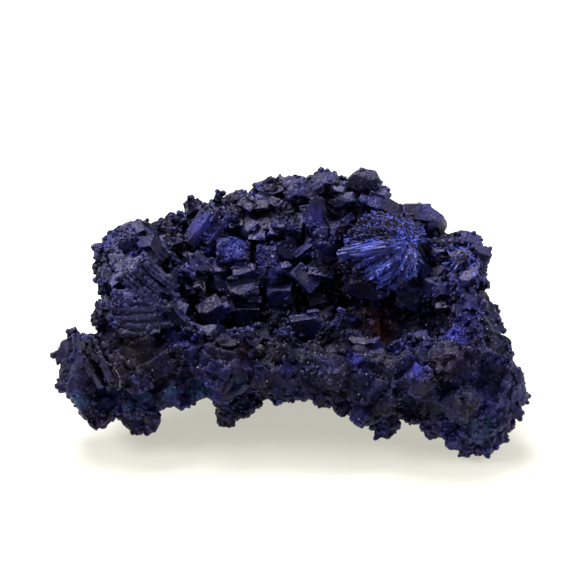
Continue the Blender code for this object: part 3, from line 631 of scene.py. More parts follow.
RIGHT = [
    ((9.3, 3.7, 8.9), (1.9, 1.1, 0.28), (1.0, 0.0, 0.1), (0.0, -0.4, 1.0)),
    ((9.5, 3.4, 8.5), (1.7, 1.1, 0.28), (1.0, 0.2, 0.0), (0.1, -0.5, 1.0)),
    ((4.6, 1.3, 7.2), (2.3, 1.3, 0.9), (1.0, -0.1, -0.35), (-0.1, -0.95, 0.1)),
    ((7.3, 1.0, 6.9), (1.8, 1.4, 0.9), (0.9, -0.2, -0.4), (0.1, -0.95, 0.05)),
    ((10.4, 2.0, 8.6), (1.15, 1.1, 1.7), (0.8, 0.6, 0.1), (0.15, -0.4, 1.0)),
    ((11.9, 2.6, 8.2), (0.9, 0.9, 1.1), (1.0, 0.3, 0.0), (0.4, -0.2, 1.0)),
    ((11.8, 1.5, 7.5), (1.2, 0.9, 1.1), (0.8, -0.5, 0.0), (0.4, -0.3, 0.9)),
    ((9.3, -0.5, 6.9), (0.75, 0.6, 0.6), (1.0, 0.1, 0.0), (0.0, -0.4, 1.0)),
]
RIM = [
    ((-6.3, -4.4, 7.5), (1.4, 0.9, 0.9), (1.0, 0.0, -0.35), (0.2, -0.4, 0.9)),
    ((-2.9, -4.6, 7.3), (1.5, 1.0, 0.8), (1.0, -0.1, 0.2), (-0.1, -0.4, 0.9)),
    ((-2.1, -5.7, 7.0), (0.95, 0.5, 0.45), (0.7, -0.2, -0.7), (-0.3, -0.6, 0.7)),
    ((-0.4, -4.7, 7.2), (1.1, 0.9, 0.8), (1.0, 0.1, 0.1), (0.1, -0.3, 1.0)),
    ((2.2, -4.3, 7.4), (1.9, 0.6, 0.7), (1.0, 0.3, 0.8), (-0.5, -0.4, 0.7)),
    ((3.1, -4.6, 7.2), (1.6, 0.6, 0.6), (1.0, 0.1, 0.7), (-0.5, -0.5, 0.6)),
]
print("slope, right end and rim:", len(SLOPE), len(RIGHT), len(RIM))

# %% [markdown]
# ## Long crystals and stacks
# A few crystals are long prisms or tablets that lie across the others. At the left shoulder thin plates
# grew on each other, once as a fan that is seen on edge and once as a low stack, each plate turned a few
# degrees from the last. A stack is described by its first plate and the step to the next.

# %% Long crystals and stacks
LONG_CRYSTALS = [
    ((-5.9, 5.0, 9.6), (2.7, 1.0, 0.9), (1.2, 1.0, 1.5), (-0.6, -0.5, 0.6)),
    ((-4.9, 4.8, 9.2), (1.9, 0.5, 0.7), (1.2, 1.0, 1.2), (-0.5, -0.5, 0.7)),
    ((1.0, 5.7, 9.6), (2.2, 0.8, 0.5), (-0.3, 0.9, 1.4), (-0.2, -0.9, 0.5)),
    ((1.7, 5.9, 9.8), (2.6, 0.8, 0.6), (-0.35, 0.9, 1.5), (0.3, -0.9, 0.4)),
    ((-8.7, 3.2, 9.5), (3.6, 1.7, 0.55), (2.1, -1.8, -1.7), (0.7, 0.2, 0.6)),
    ((8.2, 5.7, 9.2), (2.4, 1.3, 0.45), (1.1, -1.0, -1.5), (-0.3, -0.8, 0.3)),
    ((-13.1, -5.9, 6.8), (2.6, 1.4, 0.5), (0.1, -0.3, -1.0), (-0.5, -0.8, 0.2)),
    ((-11.9, -6.7, 7.0), (3.4, 0.6, 0.5), (1.5, -0.9, -2.8), (-0.5, -0.75, 0.3)),
    ((-12.4, -6.6, 5.9), (2.4, 0.5, 0.4), (1.5, -0.7, -2.6), (-0.6, -0.7, 0.2)),
]
STACKS = [
    # first plate's centre, size, step to the next, along, face, turn from one to the next, how many
    ((-9.7, -3.05, 9.35), (2.9, 1.6, 0.2), (0.22, 0.05, 0.25), (2.2, -1.3, -1.6), (0.64, 0.1, 0.70), 3.0, 7),
    ((-11.6, 0.3, 9.3), (2.2, 1.6, 0.3), (0.05, 0.2, 0.3), (1.0, 0.2, 0.4), (-0.3, -0.5, 0.9), -5.0, 4),
]


def stack_rows(stacks, seed):
    """One row for each plate of each stack, every plate a little off the last one's place and turn."""
    rng = np.random.default_rng(seed)
    rows = []
    for centre, size, step, along, face, turn, count in stacks:
        axis = Vector(face).normalized()
        for index in range(count):
            spot = Vector(centre) + Vector(step) * index + Vector(rng.normal(0, 0.04, 3))
            way = Vector(along)
            way.rotate(Matrix.Rotation(math.radians(turn * index), 3, axis))
            plate = (size[0] * rng.uniform(0.72, 1.05), size[1] * rng.uniform(0.8, 1.05), size[2])
            rows.append((spot + HOME, plate, way, axis + Vector(rng.normal(0, 0.03, 3))))
    return rows


plate_rows = stack_rows(STACKS, 35)
print("long crystals:", len(LONG_CRYSTALS), "plates:", len(plate_rows))

# %% [markdown]
# ## Blocks on the hollow's floor
# These lie deep in the shade, so their depth can't be read. They are placed by where they are seen, a third
# of their height out of the ground, and stand level, so that mostly their dark fronts show.

# %% Blocks on the hollow's floor
STANDS_OUT = 0.35
FLOOR_BLOCKS = [
    # seen in the picture at, size, along, face
    (247, 313, (1.5, 1.2, 1.1), (1.0, 0.0, 0.02), (0.0, 0.1, 1.0)),
    (212, 311, (1.6, 1.3, 1.2), (1.0, 0.3, 0.5), (0.3, 0.0, 0.9)),
    (280, 295, (1.6, 1.2, 1.2), (1.0, -0.1, 0.1), (0.0, 0.1, 1.0)),
    (283, 313, (1.6, 1.3, 1.0), (1.0, 0.1, -0.1), (0.1, -0.2, 1.0)),
    (306, 327, (2.0, 1.0, 1.5), (1.0, 0.2, 0.05), (-0.05, 0.1, 1.0)),
    (331, 324, (1.9, 0.7, 0.6), (1.0, 0.2, 0.8), (-0.5, -0.3, 0.7)),
    (247, 334, (1.3, 0.9, 1.0), (1.0, 0.1, 0.1), (0.1, 0.0, 1.0)),
    (214, 330, (1.1, 0.9, 0.9), (1.0, -0.3, 0.5), (0.4, -0.4, 0.9)),
    (282, 334, (1.1, 0.8, 0.7), (1.0, -0.2, 0.3), (-0.2, -0.5, 0.9)),
    (340, 303, (1.5, 1.2, 1.0), (1.0, -0.2, 0.4), (-0.2, -0.6, 0.8)),
    (316, 300, (1.2, 1.0, 0.9), (1.0, 0.3, 0.1), (0.1, -0.6, 0.8)),
]


def on_the_floor(rows):
    """Rows for blocks that stand a third out of the ground where they are seen."""
    placed = []
    for x, y, size, along, face in rows:
        spot, _ = seen_at(x, y, ground_tree)
        placed.append((spot + to_camera * STANDS_OUT * size[2], size, along, face))
    return placed


def at_home(rows):
    """Moves rows from where they were measured to the specimen's own middle."""
    return [(Vector(row[0]) + HOME, *row[1:]) for row in rows]


block_rows = at_home(SHOULDER + RIDGE + SLOPE + RIGHT + RIM) + on_the_floor(FLOOR_BLOCKS)
blade_rows = at_home(LONG_CRYSTALS)
boulder_rows = at_home(BOULDERS)
print("large crystals:", len(block_rows), len(blade_rows), len(boulder_rows))

# %% [markdown]
# ## Leaning and seating
# The floor and the slopes of the hollow are packed with blocky crystals of about a millimetre. Neighbours
# often share a turn, so each patch of the ground has a leaning of its own that its crystals mostly follow.
# A seated crystal leans from the surface by that much, and sinks into it by a part of its length.

# %% Leaning and seating
PATCH = 2.6


def patch_lean(point, size, seed):
    """A random direction that is the same for all the spots in one patch of the ground."""
    cell = tuple(int(v) for v in np.floor(np.array(point) / size))
    rng = np.random.default_rng([seed, *(value + 1000 for value in cell)])
    return Vector(rng.normal(0, 1, 3)).normalized()


def seat(spots, ways, sizes, sink, wander, rng, flat=(0.55, 1.0)):
    """Rows for crystals on those spots: each leans from the surface by its wander and sinks into it."""
    rows = []
    for spot, way in zip(spots, ways):
        patch = patch_lean(spot, PATCH, 77)
        face = Vector(way) + patch * wander + Vector(rng.normal(0, wander * 0.4, 3))
        side = patch.cross(Vector((0.3, 0.5, 0.8))) + Vector(rng.normal(0, 0.35, 3))
        length = rng.uniform(*sizes)
        size = (length, length * rng.uniform(*flat), length * rng.uniform(0.6, 1.1))
        rows.append((Vector(spot) - Vector(way) * sink * length, size, side, face))
    return rows


def offshoots(rows, most, seed):
    """Smaller crystals that share each large one's turn, seated in its sides."""
    rng = np.random.default_rng(seed)
    grown = []
    for centre, size, along, face in rows:
        turn = turn_of(along, face)
        for _ in range(int(rng.integers(most // 2, most + 1))):
            share = rng.uniform(0.25, 0.5)
            spot = rng.uniform(-0.5, 0.5, 3)
            axis = int(rng.integers(0, 3))
            spot[axis] = 0.5 * (1 if spot[axis] > 0 else -1)
            shift = turn @ Vector([spot[i] * size[i] for i in range(3)])
            small = tuple(side * share * rng.uniform(0.8, 1.2) for side in size)
            lean = Vector(face) + Vector(rng.normal(0, 0.04, 3))
            grown.append((centre + shift, small, along, lean))
    return grown


print("one patch leans:", [round(v, 2) for v in patch_lean((0.0, 0.0, 0.0), PATCH, 77)])

# %% [markdown]
# ## Crystals of the hollow
# The hollow's own crystals are sown where none of the large ones stands, and they stand more upright than
# the ground, as blocks on a slope do. Crystals rarely grow alone, so these and the large ones get a few
# smaller offshoots that share their turn, which is what parallel growth looks like. What would stick out
# past the solid's outline is left out.

# %% Hollow crystals
OUTLINE_MARGIN = 0.05


def clear_of(rows, weight):
    """The same weight, but nothing where one of those crystals already stands."""
    centres = np.array([row[0][:] for row in rows])
    reach = np.array([0.5 * max(row[1]) + 0.25 for row in rows])

    def masked(points, normals):
        found = weight(points, normals)
        for centre, radius in zip(centres, reach):
            found = found * (np.linalg.norm(points - centre, axis=1) > radius)
        return found

    return masked


def upright(spots, ways, sizes, rng):
    """Rows for blocky crystals that stand more upright than the ground they grow on."""
    rows = []
    for spot, way in zip(spots, ways):
        face = Vector(way) * 0.5 + Vector((0.0, -0.25, 0.6)) + Vector(rng.normal(0, 0.16, 3))
        patch = patch_lean(spot, 3.0, 78)
        along = Vector((1.0, 0.0, 0.0)) + patch * 0.7 + Vector(rng.normal(0, 0.2, 3))
        length = rng.uniform(*sizes)
        size = (length, length * rng.uniform(0.6, 0.95), length * rng.uniform(0.6, 1.2))
        rows.append((Vector(spot) - Vector(way) * 0.12 * length, size, along, face))
    return rows


def within_outline(rows):
    """Leaves out each crystal with a side that would stick out past the ground's outline."""
    kept = []
    for centre, size, along, face in rows:
        turn = turn_of(along, face)
        outwards = Vector((centre.x, 0.0, centre.z - 5.0)) * OUTLINE_MARGIN
        covered = True
        for axis in range(3):
            for sign in (-0.5, 0.5):
                side = [0.0, 0.0, 0.0]
                side[axis] = sign * size[axis]
                start = (centre + turn @ Vector(side) + outwards + to_camera * 40) * MM
                covered = covered and ground_tree.ray_cast(start, -to_camera)[0] is not None
        if covered:
            kept.append((centre, size, along, face))
    return kept


rng = np.random.default_rng(5)
ROSETTE_ZONE = [((5.95, 2.8, 8.3), (6.4, 6.4, 6.4), (1.0, 0.0, 0.0), (0.0, 0.0, 1.0))]
placed = block_rows + blade_rows + boulder_rows + at_home(ROSETTE_ZONE)


def facing(points, normals):
    """The part of the inside that faces up and forwards, without the top of the ridge and the deep floor."""
    deep = ramp(-points[:, 2], -6.4, -5.6) * (points[:, 1] > -3.6)
    return inside(points, normals) * ramp(normals @ np.array((0.0, -0.5, 0.87)), 0.15, 0.45) * (1.0 - deep)


spots, ways = sow(ground, clear_of(placed, facing), 165, 0.9, rng)
hollow_rows = upright(spots, ways, (0.7, 1.6), rng)
hollow_rows = within_outline(hollow_rows + offshoots(hollow_rows, 2, 41))
block_rows += within_outline(offshoots(block_rows, 3, 31))
blade_rows += within_outline(offshoots(blade_rows, 3, 33))
print("hollow crystals:", len(hollow_rows), "large ones:", len(block_rows), len(blade_rows))

# %% [markdown]
# ## Short ways to wire nodes
# A node tree in code needs the same few lines again and again: make a node, choose what it does, connect or
# fill its inputs. This little class holds them, so that a tree reads like a sum.

# %% Wires
class Wires:
    """Short ways to add and connect the nodes of one tree."""

    def __init__(self, tree):
        self.nodes, self.links = tree.nodes, tree.links

    def wire(self, node, *inputs):
        """Fills a node's inputs in order, by a link or by a value."""
        for socket, value in zip(node.inputs, inputs):
            if isinstance(value, bpy.types.NodeSocket):
                self.links.new(value, socket)
            else:
                socket.default_value = value
        return node

    def math(self, operation, *inputs):
        node = self.nodes.new("ShaderNodeMath")
        node.operation = operation
        return self.wire(node, *inputs).outputs[0]

    def vector(self, operation, *inputs):
        node = self.nodes.new("ShaderNodeVectorMath")
        node.operation = operation
        self.wire(node, *inputs)
        return node.outputs["Value"] if operation in ("DOT_PRODUCT", "LENGTH") else node.outputs["Vector"]

    def ramp(self, value, low, high, bottom=0.0, top=1.0):
        node = self.nodes.new("ShaderNodeMapRange")
        return self.wire(node, value, low, high, bottom, top).outputs[0]

    def voronoi(self, place, cell, feature="F1"):
        node = self.nodes.new("ShaderNodeTexVoronoi")
        node.feature = feature
        node.inputs["Scale"].default_value = 1.0 / (cell * MM)
        self.links.new(place, node.inputs["Vector"])
        return node

    def scaled(self, vector, factor):
        node = self.nodes.new("ShaderNodeVectorMath")
        node.operation = "SCALE"
        self.links.new(vector, node.inputs[0])
        self.links.new(factor, node.inputs["Scale"])
        return node.outputs["Vector"]


print("helpers:", [name for name in vars(Wires) if not name.startswith("_")])

# %% [markdown]
# ## Facets and lumps
# A node tree breaks the skin up. Each cell of a Voronoi pattern is pushed out to a tilted plane of its own,
# with a groove along the cell's border. Three sizes of cell on each other give large facets that carry small
# ones. The outside gets deeper grooves and rounder cells, so it turns into crumbly lumps.

# %% Facets and lumps
INSIDE_SHIFT = -0.10
OUTSIDE_SHIFT = 0.12
INSIDE_LAYERS = (
    # cell, tilt, step, groove, groove width, all but the tilt in mm
    (1.10, 0.16, 0.16, 0.10, 0.12),
    (0.45, 0.14, 0.05, 0.03, 0.06),
    (0.22, 0.10, 0.012, 0.0, 0.05),
)
OUTSIDE_LAYERS = (
    (2.30, 0.08, 0.16, 0.50, 0.50),
    (0.90, 0.10, 0.07, 0.12, 0.24),
    (0.34, 0.12, 0.03, 0.04, 0.10),
)
# the outside leans in near its top and swells near the feet: from and to which height, and how far, in mm
LEAN_IN = (5.5, 7.5, 0.0, -0.34)
SWELL = (2.0, 4.0, 0.08, 0.0)


def layer_height(w, place, layer):
    """How far one layer pushes the skin out."""
    cell, tilt, step, groove, width = layer
    pattern = w.voronoi(place, cell)
    edge = w.voronoi(place, cell, "DISTANCE_TO_EDGE").outputs["Distance"]
    lean = w.vector("SUBTRACT", pattern.outputs["Color"], (0.5, 0.5, 0.5))
    offset = w.vector("SUBTRACT", place, pattern.outputs["Position"])
    height = w.math("MULTIPLY", w.vector("DOT_PRODUCT", offset, lean), 2.0 * tilt)
    height = w.math("MULTIPLY_ADD", w.vector("DOT_PRODUCT", lean, (0.0, 0.0, 1.0)), 2.0 * step * MM, height)
    return w.math("ADD", height, w.ramp(edge, 0.0, width / cell, -groove * MM, 0.0))


def facet_tree(inner, outer, inner_shift, outer_shift):
    """Breaks the skin into facets inside and lumps outside, by the mesh's own zone number."""
    tree = bpy.data.node_groups.new("facets", "GeometryNodeTree")
    tree.interface.new_socket("Geometry", in_out="INPUT", socket_type="NodeSocketGeometry")
    tree.interface.new_socket("Geometry", in_out="OUTPUT", socket_type="NodeSocketGeometry")
    w = Wires(tree)
    start, end = w.nodes.new("NodeGroupInput"), w.nodes.new("NodeGroupOutput")
    place = w.nodes.new("GeometryNodeInputPosition").outputs[0]
    zone = w.nodes.new("GeometryNodeInputNamedAttribute")
    zone.inputs["Name"].default_value = "outside"
    sums = []
    for layers, shift in ((inner, inner_shift), (outer, outer_shift)):
        total = shift * MM
        for layer in layers:
            total = w.math("ADD", total, layer_height(w, place, layer))
        sums.append(total)
    height = w.nodes.new("ShaderNodeSeparateXYZ")
    w.links.new(place, height.inputs[0])
    lean_in, swell = (w.ramp(height.outputs["Z"], *(value * MM for value in way)) for way in (LEAN_IN, SWELL))
    change = w.math("ADD", w.math("SUBTRACT", sums[1], sums[0]), w.math("ADD", lean_in, swell))
    total = w.math("MULTIPLY_ADD", change, zone.outputs["Attribute"], sums[0])
    push = w.scaled(w.nodes.new("GeometryNodeInputNormal").outputs[0], total)
    move = w.nodes.new("GeometryNodeSetPosition")
    w.links.new(start.outputs["Geometry"], move.inputs["Geometry"])
    w.links.new(push, move.inputs["Offset"])
    w.links.new(move.outputs["Geometry"], end.inputs["Geometry"])
    return tree


broken = facet_tree(INSIDE_LAYERS, OUTSIDE_LAYERS, INSIDE_SHIFT, OUTSIDE_SHIFT)
print("facet nodes:", len(broken.nodes))

# %% [markdown]
# ## Marks on the skin
# Two numbers are written on every corner point. One says whether the spot is outside or inside. The other
# says how the skin bends there, because crests are made lighter, partly as wear and partly as a painted
# highlight, and cracks darker as painted shade, and a material can read such a number much faster than it
# can work out the bend by itself.

# %% Marks on the skin
CREST_RANGE = 20.0
SMOOTH_FROM = 0.6


def mark_zone(obj):
    """Writes the zone number on every corner point of the mesh."""
    mesh = obj.data
    zone = outside(read_points(mesh) / MM, read_points(mesh, "normal"))
    mesh.attributes.new("outside", "FLOAT", "POINT").data.foreach_set("value", zone)


def mark_crest(obj):
    """Writes the bend at every corner point: one on a sharp crest, a half where flat, zero in a crack."""
    mesh = obj.data
    points, normals = read_points(mesh) / MM, read_points(mesh, "normal")
    ends = np.empty(len(mesh.edges) * 2, dtype=np.int32)
    mesh.edges.foreach_get("vertices", ends)
    a, b = ends.reshape(-1, 2).T
    way = points[b] - points[a]
    bend = (way * (normals[b] - normals[a])).sum(axis=1) / np.maximum((way * way).sum(axis=1), 1e-6)
    count = np.bincount(a, minlength=len(points)) + np.bincount(b, minlength=len(points))
    total = np.bincount(a, bend, len(points)) + np.bincount(b, bend, len(points))
    crest = np.clip(0.5 + total / np.maximum(count, 1) / CREST_RANGE, 0.0, 1.0)
    mesh.attributes.new("crest", "FLOAT", "POINT").data.foreach_set("value", crest)
    print(obj.name, "crest:", np.percentile(crest, (5, 50, 95)).round(2))


def shade_soft(obj):
    """Shades the lumps of the outside smooth and leaves the facets of the inside flat."""
    mesh = obj.data
    zone = np.empty(len(mesh.vertices))
    mesh.attributes["outside"].data.foreach_get("value", zone)
    corners = np.empty(len(mesh.loops), dtype=np.int32)
    mesh.loops.foreach_get("vertex_index", corners)
    first = np.empty(len(mesh.polygons), dtype=np.int32)
    mesh.polygons.foreach_get("loop_start", first)
    mesh.polygons.foreach_set("use_smooth", zone[corners[first]] > SMOOTH_FROM)


print("a crest of one bends by", 0.5 * CREST_RANGE, "per mm")

# %% [markdown]
# ## Fitting
# The solid is smooth, and in a few places it is a little fuller or leaner than the specimen. The skin is
# shifted there at listed spots, as with a soft brush. Whatever reaches under the floor is brought up to it.

# %% Fitting
NUDGES = [
    # centre, reach and shift in mm: where the solid is a little fuller or leaner than the specimen
    ((-8.6, 5.7, 9.9), 1.8, (0.1, 0.0, -0.50)),
    ((-4.4, 7.3, 10.6), 2.0, (0.0, 0.1, -0.45)),
    ((-12.4, -1.9, 9.0), 1.9, (0.40, 0.0, 0.0)),
    ((-12.3, -3.4, 7.6), 1.6, (0.35, 0.0, 0.0)),
    ((13.9, -6.0, 1.9), 2.2, (0.45, -0.1, -0.1)),
    ((-12.0, -7.0, 1.7), 1.8, (0.0, -0.1, -0.30)),
    ((13.0, -2.0, 6.8), 1.8, (-0.35, 0.0, 0.0)),
]


def nudge(obj):
    """Shifts the skin a little around a few spots, less and less towards each spot's reach."""
    points = read_points(obj.data) / MM
    for centre, reach, shift in NUDGES:
        far = np.linalg.norm(points - np.array(Vector(centre) + HOME), axis=1) / reach
        points += np.clip(1.0 - far, 0.0, 1.0)[:, None] ** 0.7 * np.array(shift)
    obj.data.vertices.foreach_set("co", (points * MM).ravel())
    obj.data.update()


def lift_to_floor(obj):
    """Brings what reaches under the floor up to it, as a stone's weight flattens its lowest grains."""
    points = read_points(obj.data)
    points[:, 2] = np.maximum(points[:, 2], 0.0)
    obj.data.vertices.foreach_set("co", points.ravel())
    obj.data.update()


print("nudges:", len(NUDGES))

# %% [markdown]
# ## The mass
# The crust shares one body, with no gap or step where its lumps meet. So the solid's copy is rebuilt as one
# skin of even small squares, broken up, and thinned again where it is flat. A piece may only hold so many
# triangles, so the mass is made as three closed blocks that overlap a little: the rim, and the left and the
# right of what lies behind it. The squares are made at ten times the size, because Blender's remesh is not
# meant for such tiny ones. Breaking the skin up can chip off loose bits, and those are deleted.

# %% Mass
MAGNIFIED = 10.0
MASS_VOXEL = 0.07
MASS_TRIANGLES = 109000
REACH = 0.15
CRUMB = 40
TESTED_CORNERS = 1500


def cut_out(name, low, high):
    """A closed block of the ground: what lies in the box between those corners, in mm."""
    block = ground.copy()
    block.data = ground.data.copy()
    block.name = name
    bpy.context.scene.collection.objects.link(block)
    deselect()
    middle = (Vector(low) + Vector(high)) / 2 * MM
    bpy.ops.mesh.primitive_cube_add(size=1.0, location=middle)
    box = bpy.context.object
    box.scale = (Vector(high) - Vector(low)) * MM
    pick(block)
    cut = block.modifiers.new("cut", "BOOLEAN")
    cut.operation = "INTERSECT"
    cut.solver = "EXACT"
    cut.object = box
    bpy.ops.object.modifier_apply(modifier="cut")
    bpy.data.objects.remove(box, do_unlink=True)
    return block


def drop_floating(obj, carriers):
    """Deletes each loose part of a piece that is a mere crumb, or that reaches none of its carriers."""
    shape = bmesh.new()
    shape.from_mesh(obj.data)
    seen, floating, count = set(), [], 0
    for start in shape.verts:
        if start in seen:
            continue
        part, wave = [start], [start]
        seen.add(start)
        while wave:
            wave = [edge.other_vert(vert) for vert in wave for edge in vert.link_edges]
            wave = [vert for vert in dict.fromkeys(wave) if vert not in seen]
            seen.update(wave)
            part += wave
        tested = part[:: 1 + len(part) // TESTED_CORNERS]
        gaps = [tree.find_nearest(vert.co)[3] for vert in tested for tree in carriers]
        if len(part) < CRUMB or (gaps and min(gaps) > REACH * MM):
            floating += part
            count += 1
    bmesh.ops.delete(shape, geom=floating, context="VERTS")
    shape.to_mesh(obj.data)
    shape.free()
    print(obj.name, "loose parts dropped:", count, "corners:", len(floating))


def rebuild(obj, voxel, tree, triangles, carriers=()):
    """Rebuilds a piece as one skin of even squares, breaks that up, and thins it."""
    pick(obj)
    obj.data.transform(Matrix.Scale(MAGNIFIED, 4))
    even = obj.modifiers.new("even", "REMESH")
    even.mode = "VOXEL"
    even.voxel_size = voxel * MM * MAGNIFIED
    bpy.ops.object.modifier_apply(modifier="even")
    obj.data.transform(Matrix.Scale(1.0 / MAGNIFIED, 4))
    squares = len(obj.data.polygons)
    mark_zone(obj)
    facets = obj.modifiers.new("facets", "NODES")
    facets.node_group = tree
    bpy.ops.object.modifier_apply(modifier="facets")
    thin = obj.modifiers.new("thin", "DECIMATE")
    thin.ratio = min(1.0, triangles / (2.0 * squares))
    bpy.ops.object.modifier_apply(modifier="thin")
    drop_floating(obj, carriers)
    nudge(obj)
    lift_to_floor(obj)
    mark_crest(obj)
    shade_soft(obj)
    print(obj.name, "even squares:", squares, "triangles:", triangles_of(obj))
    return obj


BLOCKS = (
    # name, lowest and highest corner of the box in mm
    ("rim", (-30, -30, -1), (30, -3.8, 30)),
    ("left_bowl", (-30, -4.1, -1), (-0.2, 30, 30)),
    ("right_bowl", (-0.5, -4.1, -1), (30, 30, 30)),
)
mass = [rebuild(cut_out(*block), MASS_VOXEL, broken, MASS_TRIANGLES) for block in BLOCKS]

# %% [markdown]
# ## The crystals, grown together
# The crystals with flat faces are planted, then rebuilt as one skin in the same way, in a left and a right
# piece. Their patterns are fine and shallow, so the faces stay flat but look etched, and the edges are a
# little worn. A crystal that touches none of the mass would float, so it is deleted.

# %% Crystals
CRYSTAL_VOXEL = 0.06
CRYSTAL_TRIANGLES = 114000
CRYSTAL_LAYERS = (
    (0.42, 0.020, 0.010, 0.010, 0.05),
    (0.17, 0.045, 0.005, 0.0, 0.05),
)


def join(name, parts):
    """Makes one object of several."""
    deselect()
    for part in parts:
        part.select_set(True)
    bpy.context.view_layer.objects.active = parts[0]
    bpy.ops.object.join()
    parts[0].name = name
    return parts[0]


etched = facet_tree(CRYSTAL_LAYERS, CRYSTAL_LAYERS, 0.0, 0.0)
carriers = [BVHTree.FromObject(block, bpy.context.evaluated_depsgraph_get()) for block in mass]
KINDS = (
    ("block", blocks, block_rows),
    ("lath", laths, blade_rows),
    ("plate", plates, plate_rows),
    ("boulder", boulders, boulder_rows),
    ("stump", stumps, hollow_rows),
)
crystals = []
for side in ("left", "right"):
    parts = []
    for kind, shapes, rows in KINDS:
        rows = [row for row in rows if (row[0][0] < 0.0) == (side == "left")]
        if rows:
            parts.append(plant(f"{kind}_{side}", shapes, rows, 32))
    grown = join(f"crystals_{side}", parts)
    crystals.append(rebuild(grown, CRYSTAL_VOXEL, etched, CRYSTAL_TRIANGLES, carriers))

# %% [markdown]
# ## The skin that is seen
# What comes next is seated on the finished mass and not on the smooth ground, so that no grain floats and
# none is buried. A joined copy of the three blocks and the crystals serves for that, and is removed at the
# end.

# %% Skin
def copy_of(obj):
    """A copy with its own mesh."""
    twin = obj.copy()
    twin.data = obj.data.copy()
    bpy.context.scene.collection.objects.link(twin)
    return twin


skin = join("skin", [copy_of(obj) for obj in (*mass, *crystals)])
skin_tree = BVHTree.FromObject(skin, bpy.context.evaluated_depsgraph_get())
print("skin triangles:", triangles_of(skin))

# %% [markdown]
# ## Small crystals and grains
# Loose, crisp crystals of a third to two thirds of a millimetre sit on the mass in the hollow. On the outside
# there are only small grains that barely stand proud. The feet and the lower edge are different again: they
# are knobbly all over with rounded granules, which show best against the floor.

# %% Small crystals and grains
CRYSTALS_WANTED, GRANULES_WANTED, GRAINS_WANTED = 420, 4800, 5700

spots, ways = sow(skin, inside, CRYSTALS_WANTED, 0.35, rng)
small_crystals = plant("small_crystals", grains, seat(spots, ways, (0.25, 0.5), 0.2, 0.5, rng), 43)


def low_down(points, normals):
    """The feet and the lower edge, where the granules are."""
    low = ramp(-points[:, 2], -3.4, -2.4) + 0.5 * ramp(-normals[:, 2], 0.1, 0.4)
    return np.minimum(low, 1.0) * outside(points, normals) * (normals[:, 2] > -0.9)


def outer_face(points, normals):
    """The rest of the outside."""
    return outside(points, normals) * (1.0 - low_down(points, normals))


spots, ways = sow(skin, low_down, GRANULES_WANTED, 0.25, rng)
granules = plant("granules", knobs, seat(spots, ways, (0.32, 0.48), 0.0, 0.4, rng, (0.85, 1.0)), 51)
spots, ways = sow(skin, outer_face, GRAINS_WANTED, 0.15, rng)
outer_grains = plant("outer_grains", knobs, seat(spots, ways, (0.12, 0.30), 0.12, 0.5, rng), 52)

# %% [markdown]
# ## The rosette
# Right of the middle, azurite grew as a rosette: thin blades that all start from one heart, seen edge on,
# so that they look like combed fibres that fan out and down. Above the heart the blades are short and curl
# every way. Each row below is a blade that points away from the heart and lies nearly flat on the ground.

# %% Blades around a heart
def near(centre, reach):
    """A weight that is one near a spot and falls to nothing at its reach, in mm."""
    def weight(points, normals):
        far = np.linalg.norm(points - np.array(centre[:]), axis=1)
        return ramp(-far, -reach, -0.75 * reach)
    return weight


def radiate(spots, ways, heart, lengths, width, lift, wander, rng):
    """Rows for thin blades that all point away from one heart, along the ground and lifted from it."""
    rows = []
    for spot, way in zip(spots, ways):
        spot, way = Vector(spot), Vector(way)
        out = spot - heart
        out = (out - way * out.dot(way)).normalized()
        along = out + way * lift + Vector(rng.normal(0, wander, 3))
        face = way.cross(out) + way * rng.normal(0.6, 0.5)
        length = rng.uniform(*lengths)
        size = (length, width * rng.uniform(0.7, 1.4), width * rng.uniform(0.35, 0.6))
        rows.append((spot - way * 0.02, size, along, face))
    return rows


print("blade helpers:", near.__name__, "and", radiate.__name__)

# %% [markdown]
# ## The rosette's body
# The blades need something to lie on. A sphere is squeezed to a dome, and waves that run round it give it
# ridges and furrows from its top down, like combed hair. Blender lists a new sphere's faces in another order
# each time, and blades are sown by drawing faces from that list, so the faces are put in a fixed order.

# %% The rosette's body
WAVES = ((5, 0.05), (9, 0.06), (17, 0.05), (31, 0.04), (67, 0.03))
ROSETTE_CENTRE = Vector((6.0, 3.4, 8.9)) + HOME
ROSETTE_HEAD = Vector((7.2, 2.5, 10.15)) + HOME
SPRAY_HEAD = Vector((11.2, 3.2, 9.2)) + HOME
picture_up = Vector((0.0, math.sin(ELEVATION), math.cos(ELEVATION)))


def sort_faces(mesh):
    """Puts the faces in the order of their first two corners."""
    body = bmesh.new()
    body.from_mesh(mesh)
    body.verts.index_update()
    count = len(body.verts)
    body.faces.sort(key=lambda face: face.verts[0].index * count + face.verts[1].index)
    body.to_mesh(mesh)
    body.free()


def combed_dome(name, centre, radii, lean, seed):
    """A closed dome with ridges that run down from its top like combed hair."""
    rng = np.random.default_rng(seed)
    deselect()
    bpy.ops.mesh.primitive_uv_sphere_add(segments=180, ring_count=48, radius=1.0)
    body = bpy.context.object
    body.name = name
    sort_faces(body.data)
    points = read_points(body.data)
    angle = np.arctan2(points[:, 1], points[:, 0])
    down = np.arccos(np.clip(points[:, 2], -1, 1))
    swell = np.zeros(len(points))
    for waves, size in WAVES:
        phase, drift = rng.uniform(0, 6.28, 2)
        swell += size * np.sin(angle * waves + phase + 0.8 * np.sin(down * 3.0 + drift))
    points *= (1.0 + swell * np.sin(down))[:, None]
    body.data.vertices.foreach_set("co", points.ravel())
    turn = Vector(lean).to_track_quat("Z", "Y").to_matrix().to_4x4()
    place = Matrix.Translation(centre * MM) @ Matrix.Diagonal((*(Vector(radii) * MM), 1.0))
    body.data.transform(place @ turn)
    body.data.update()
    return body


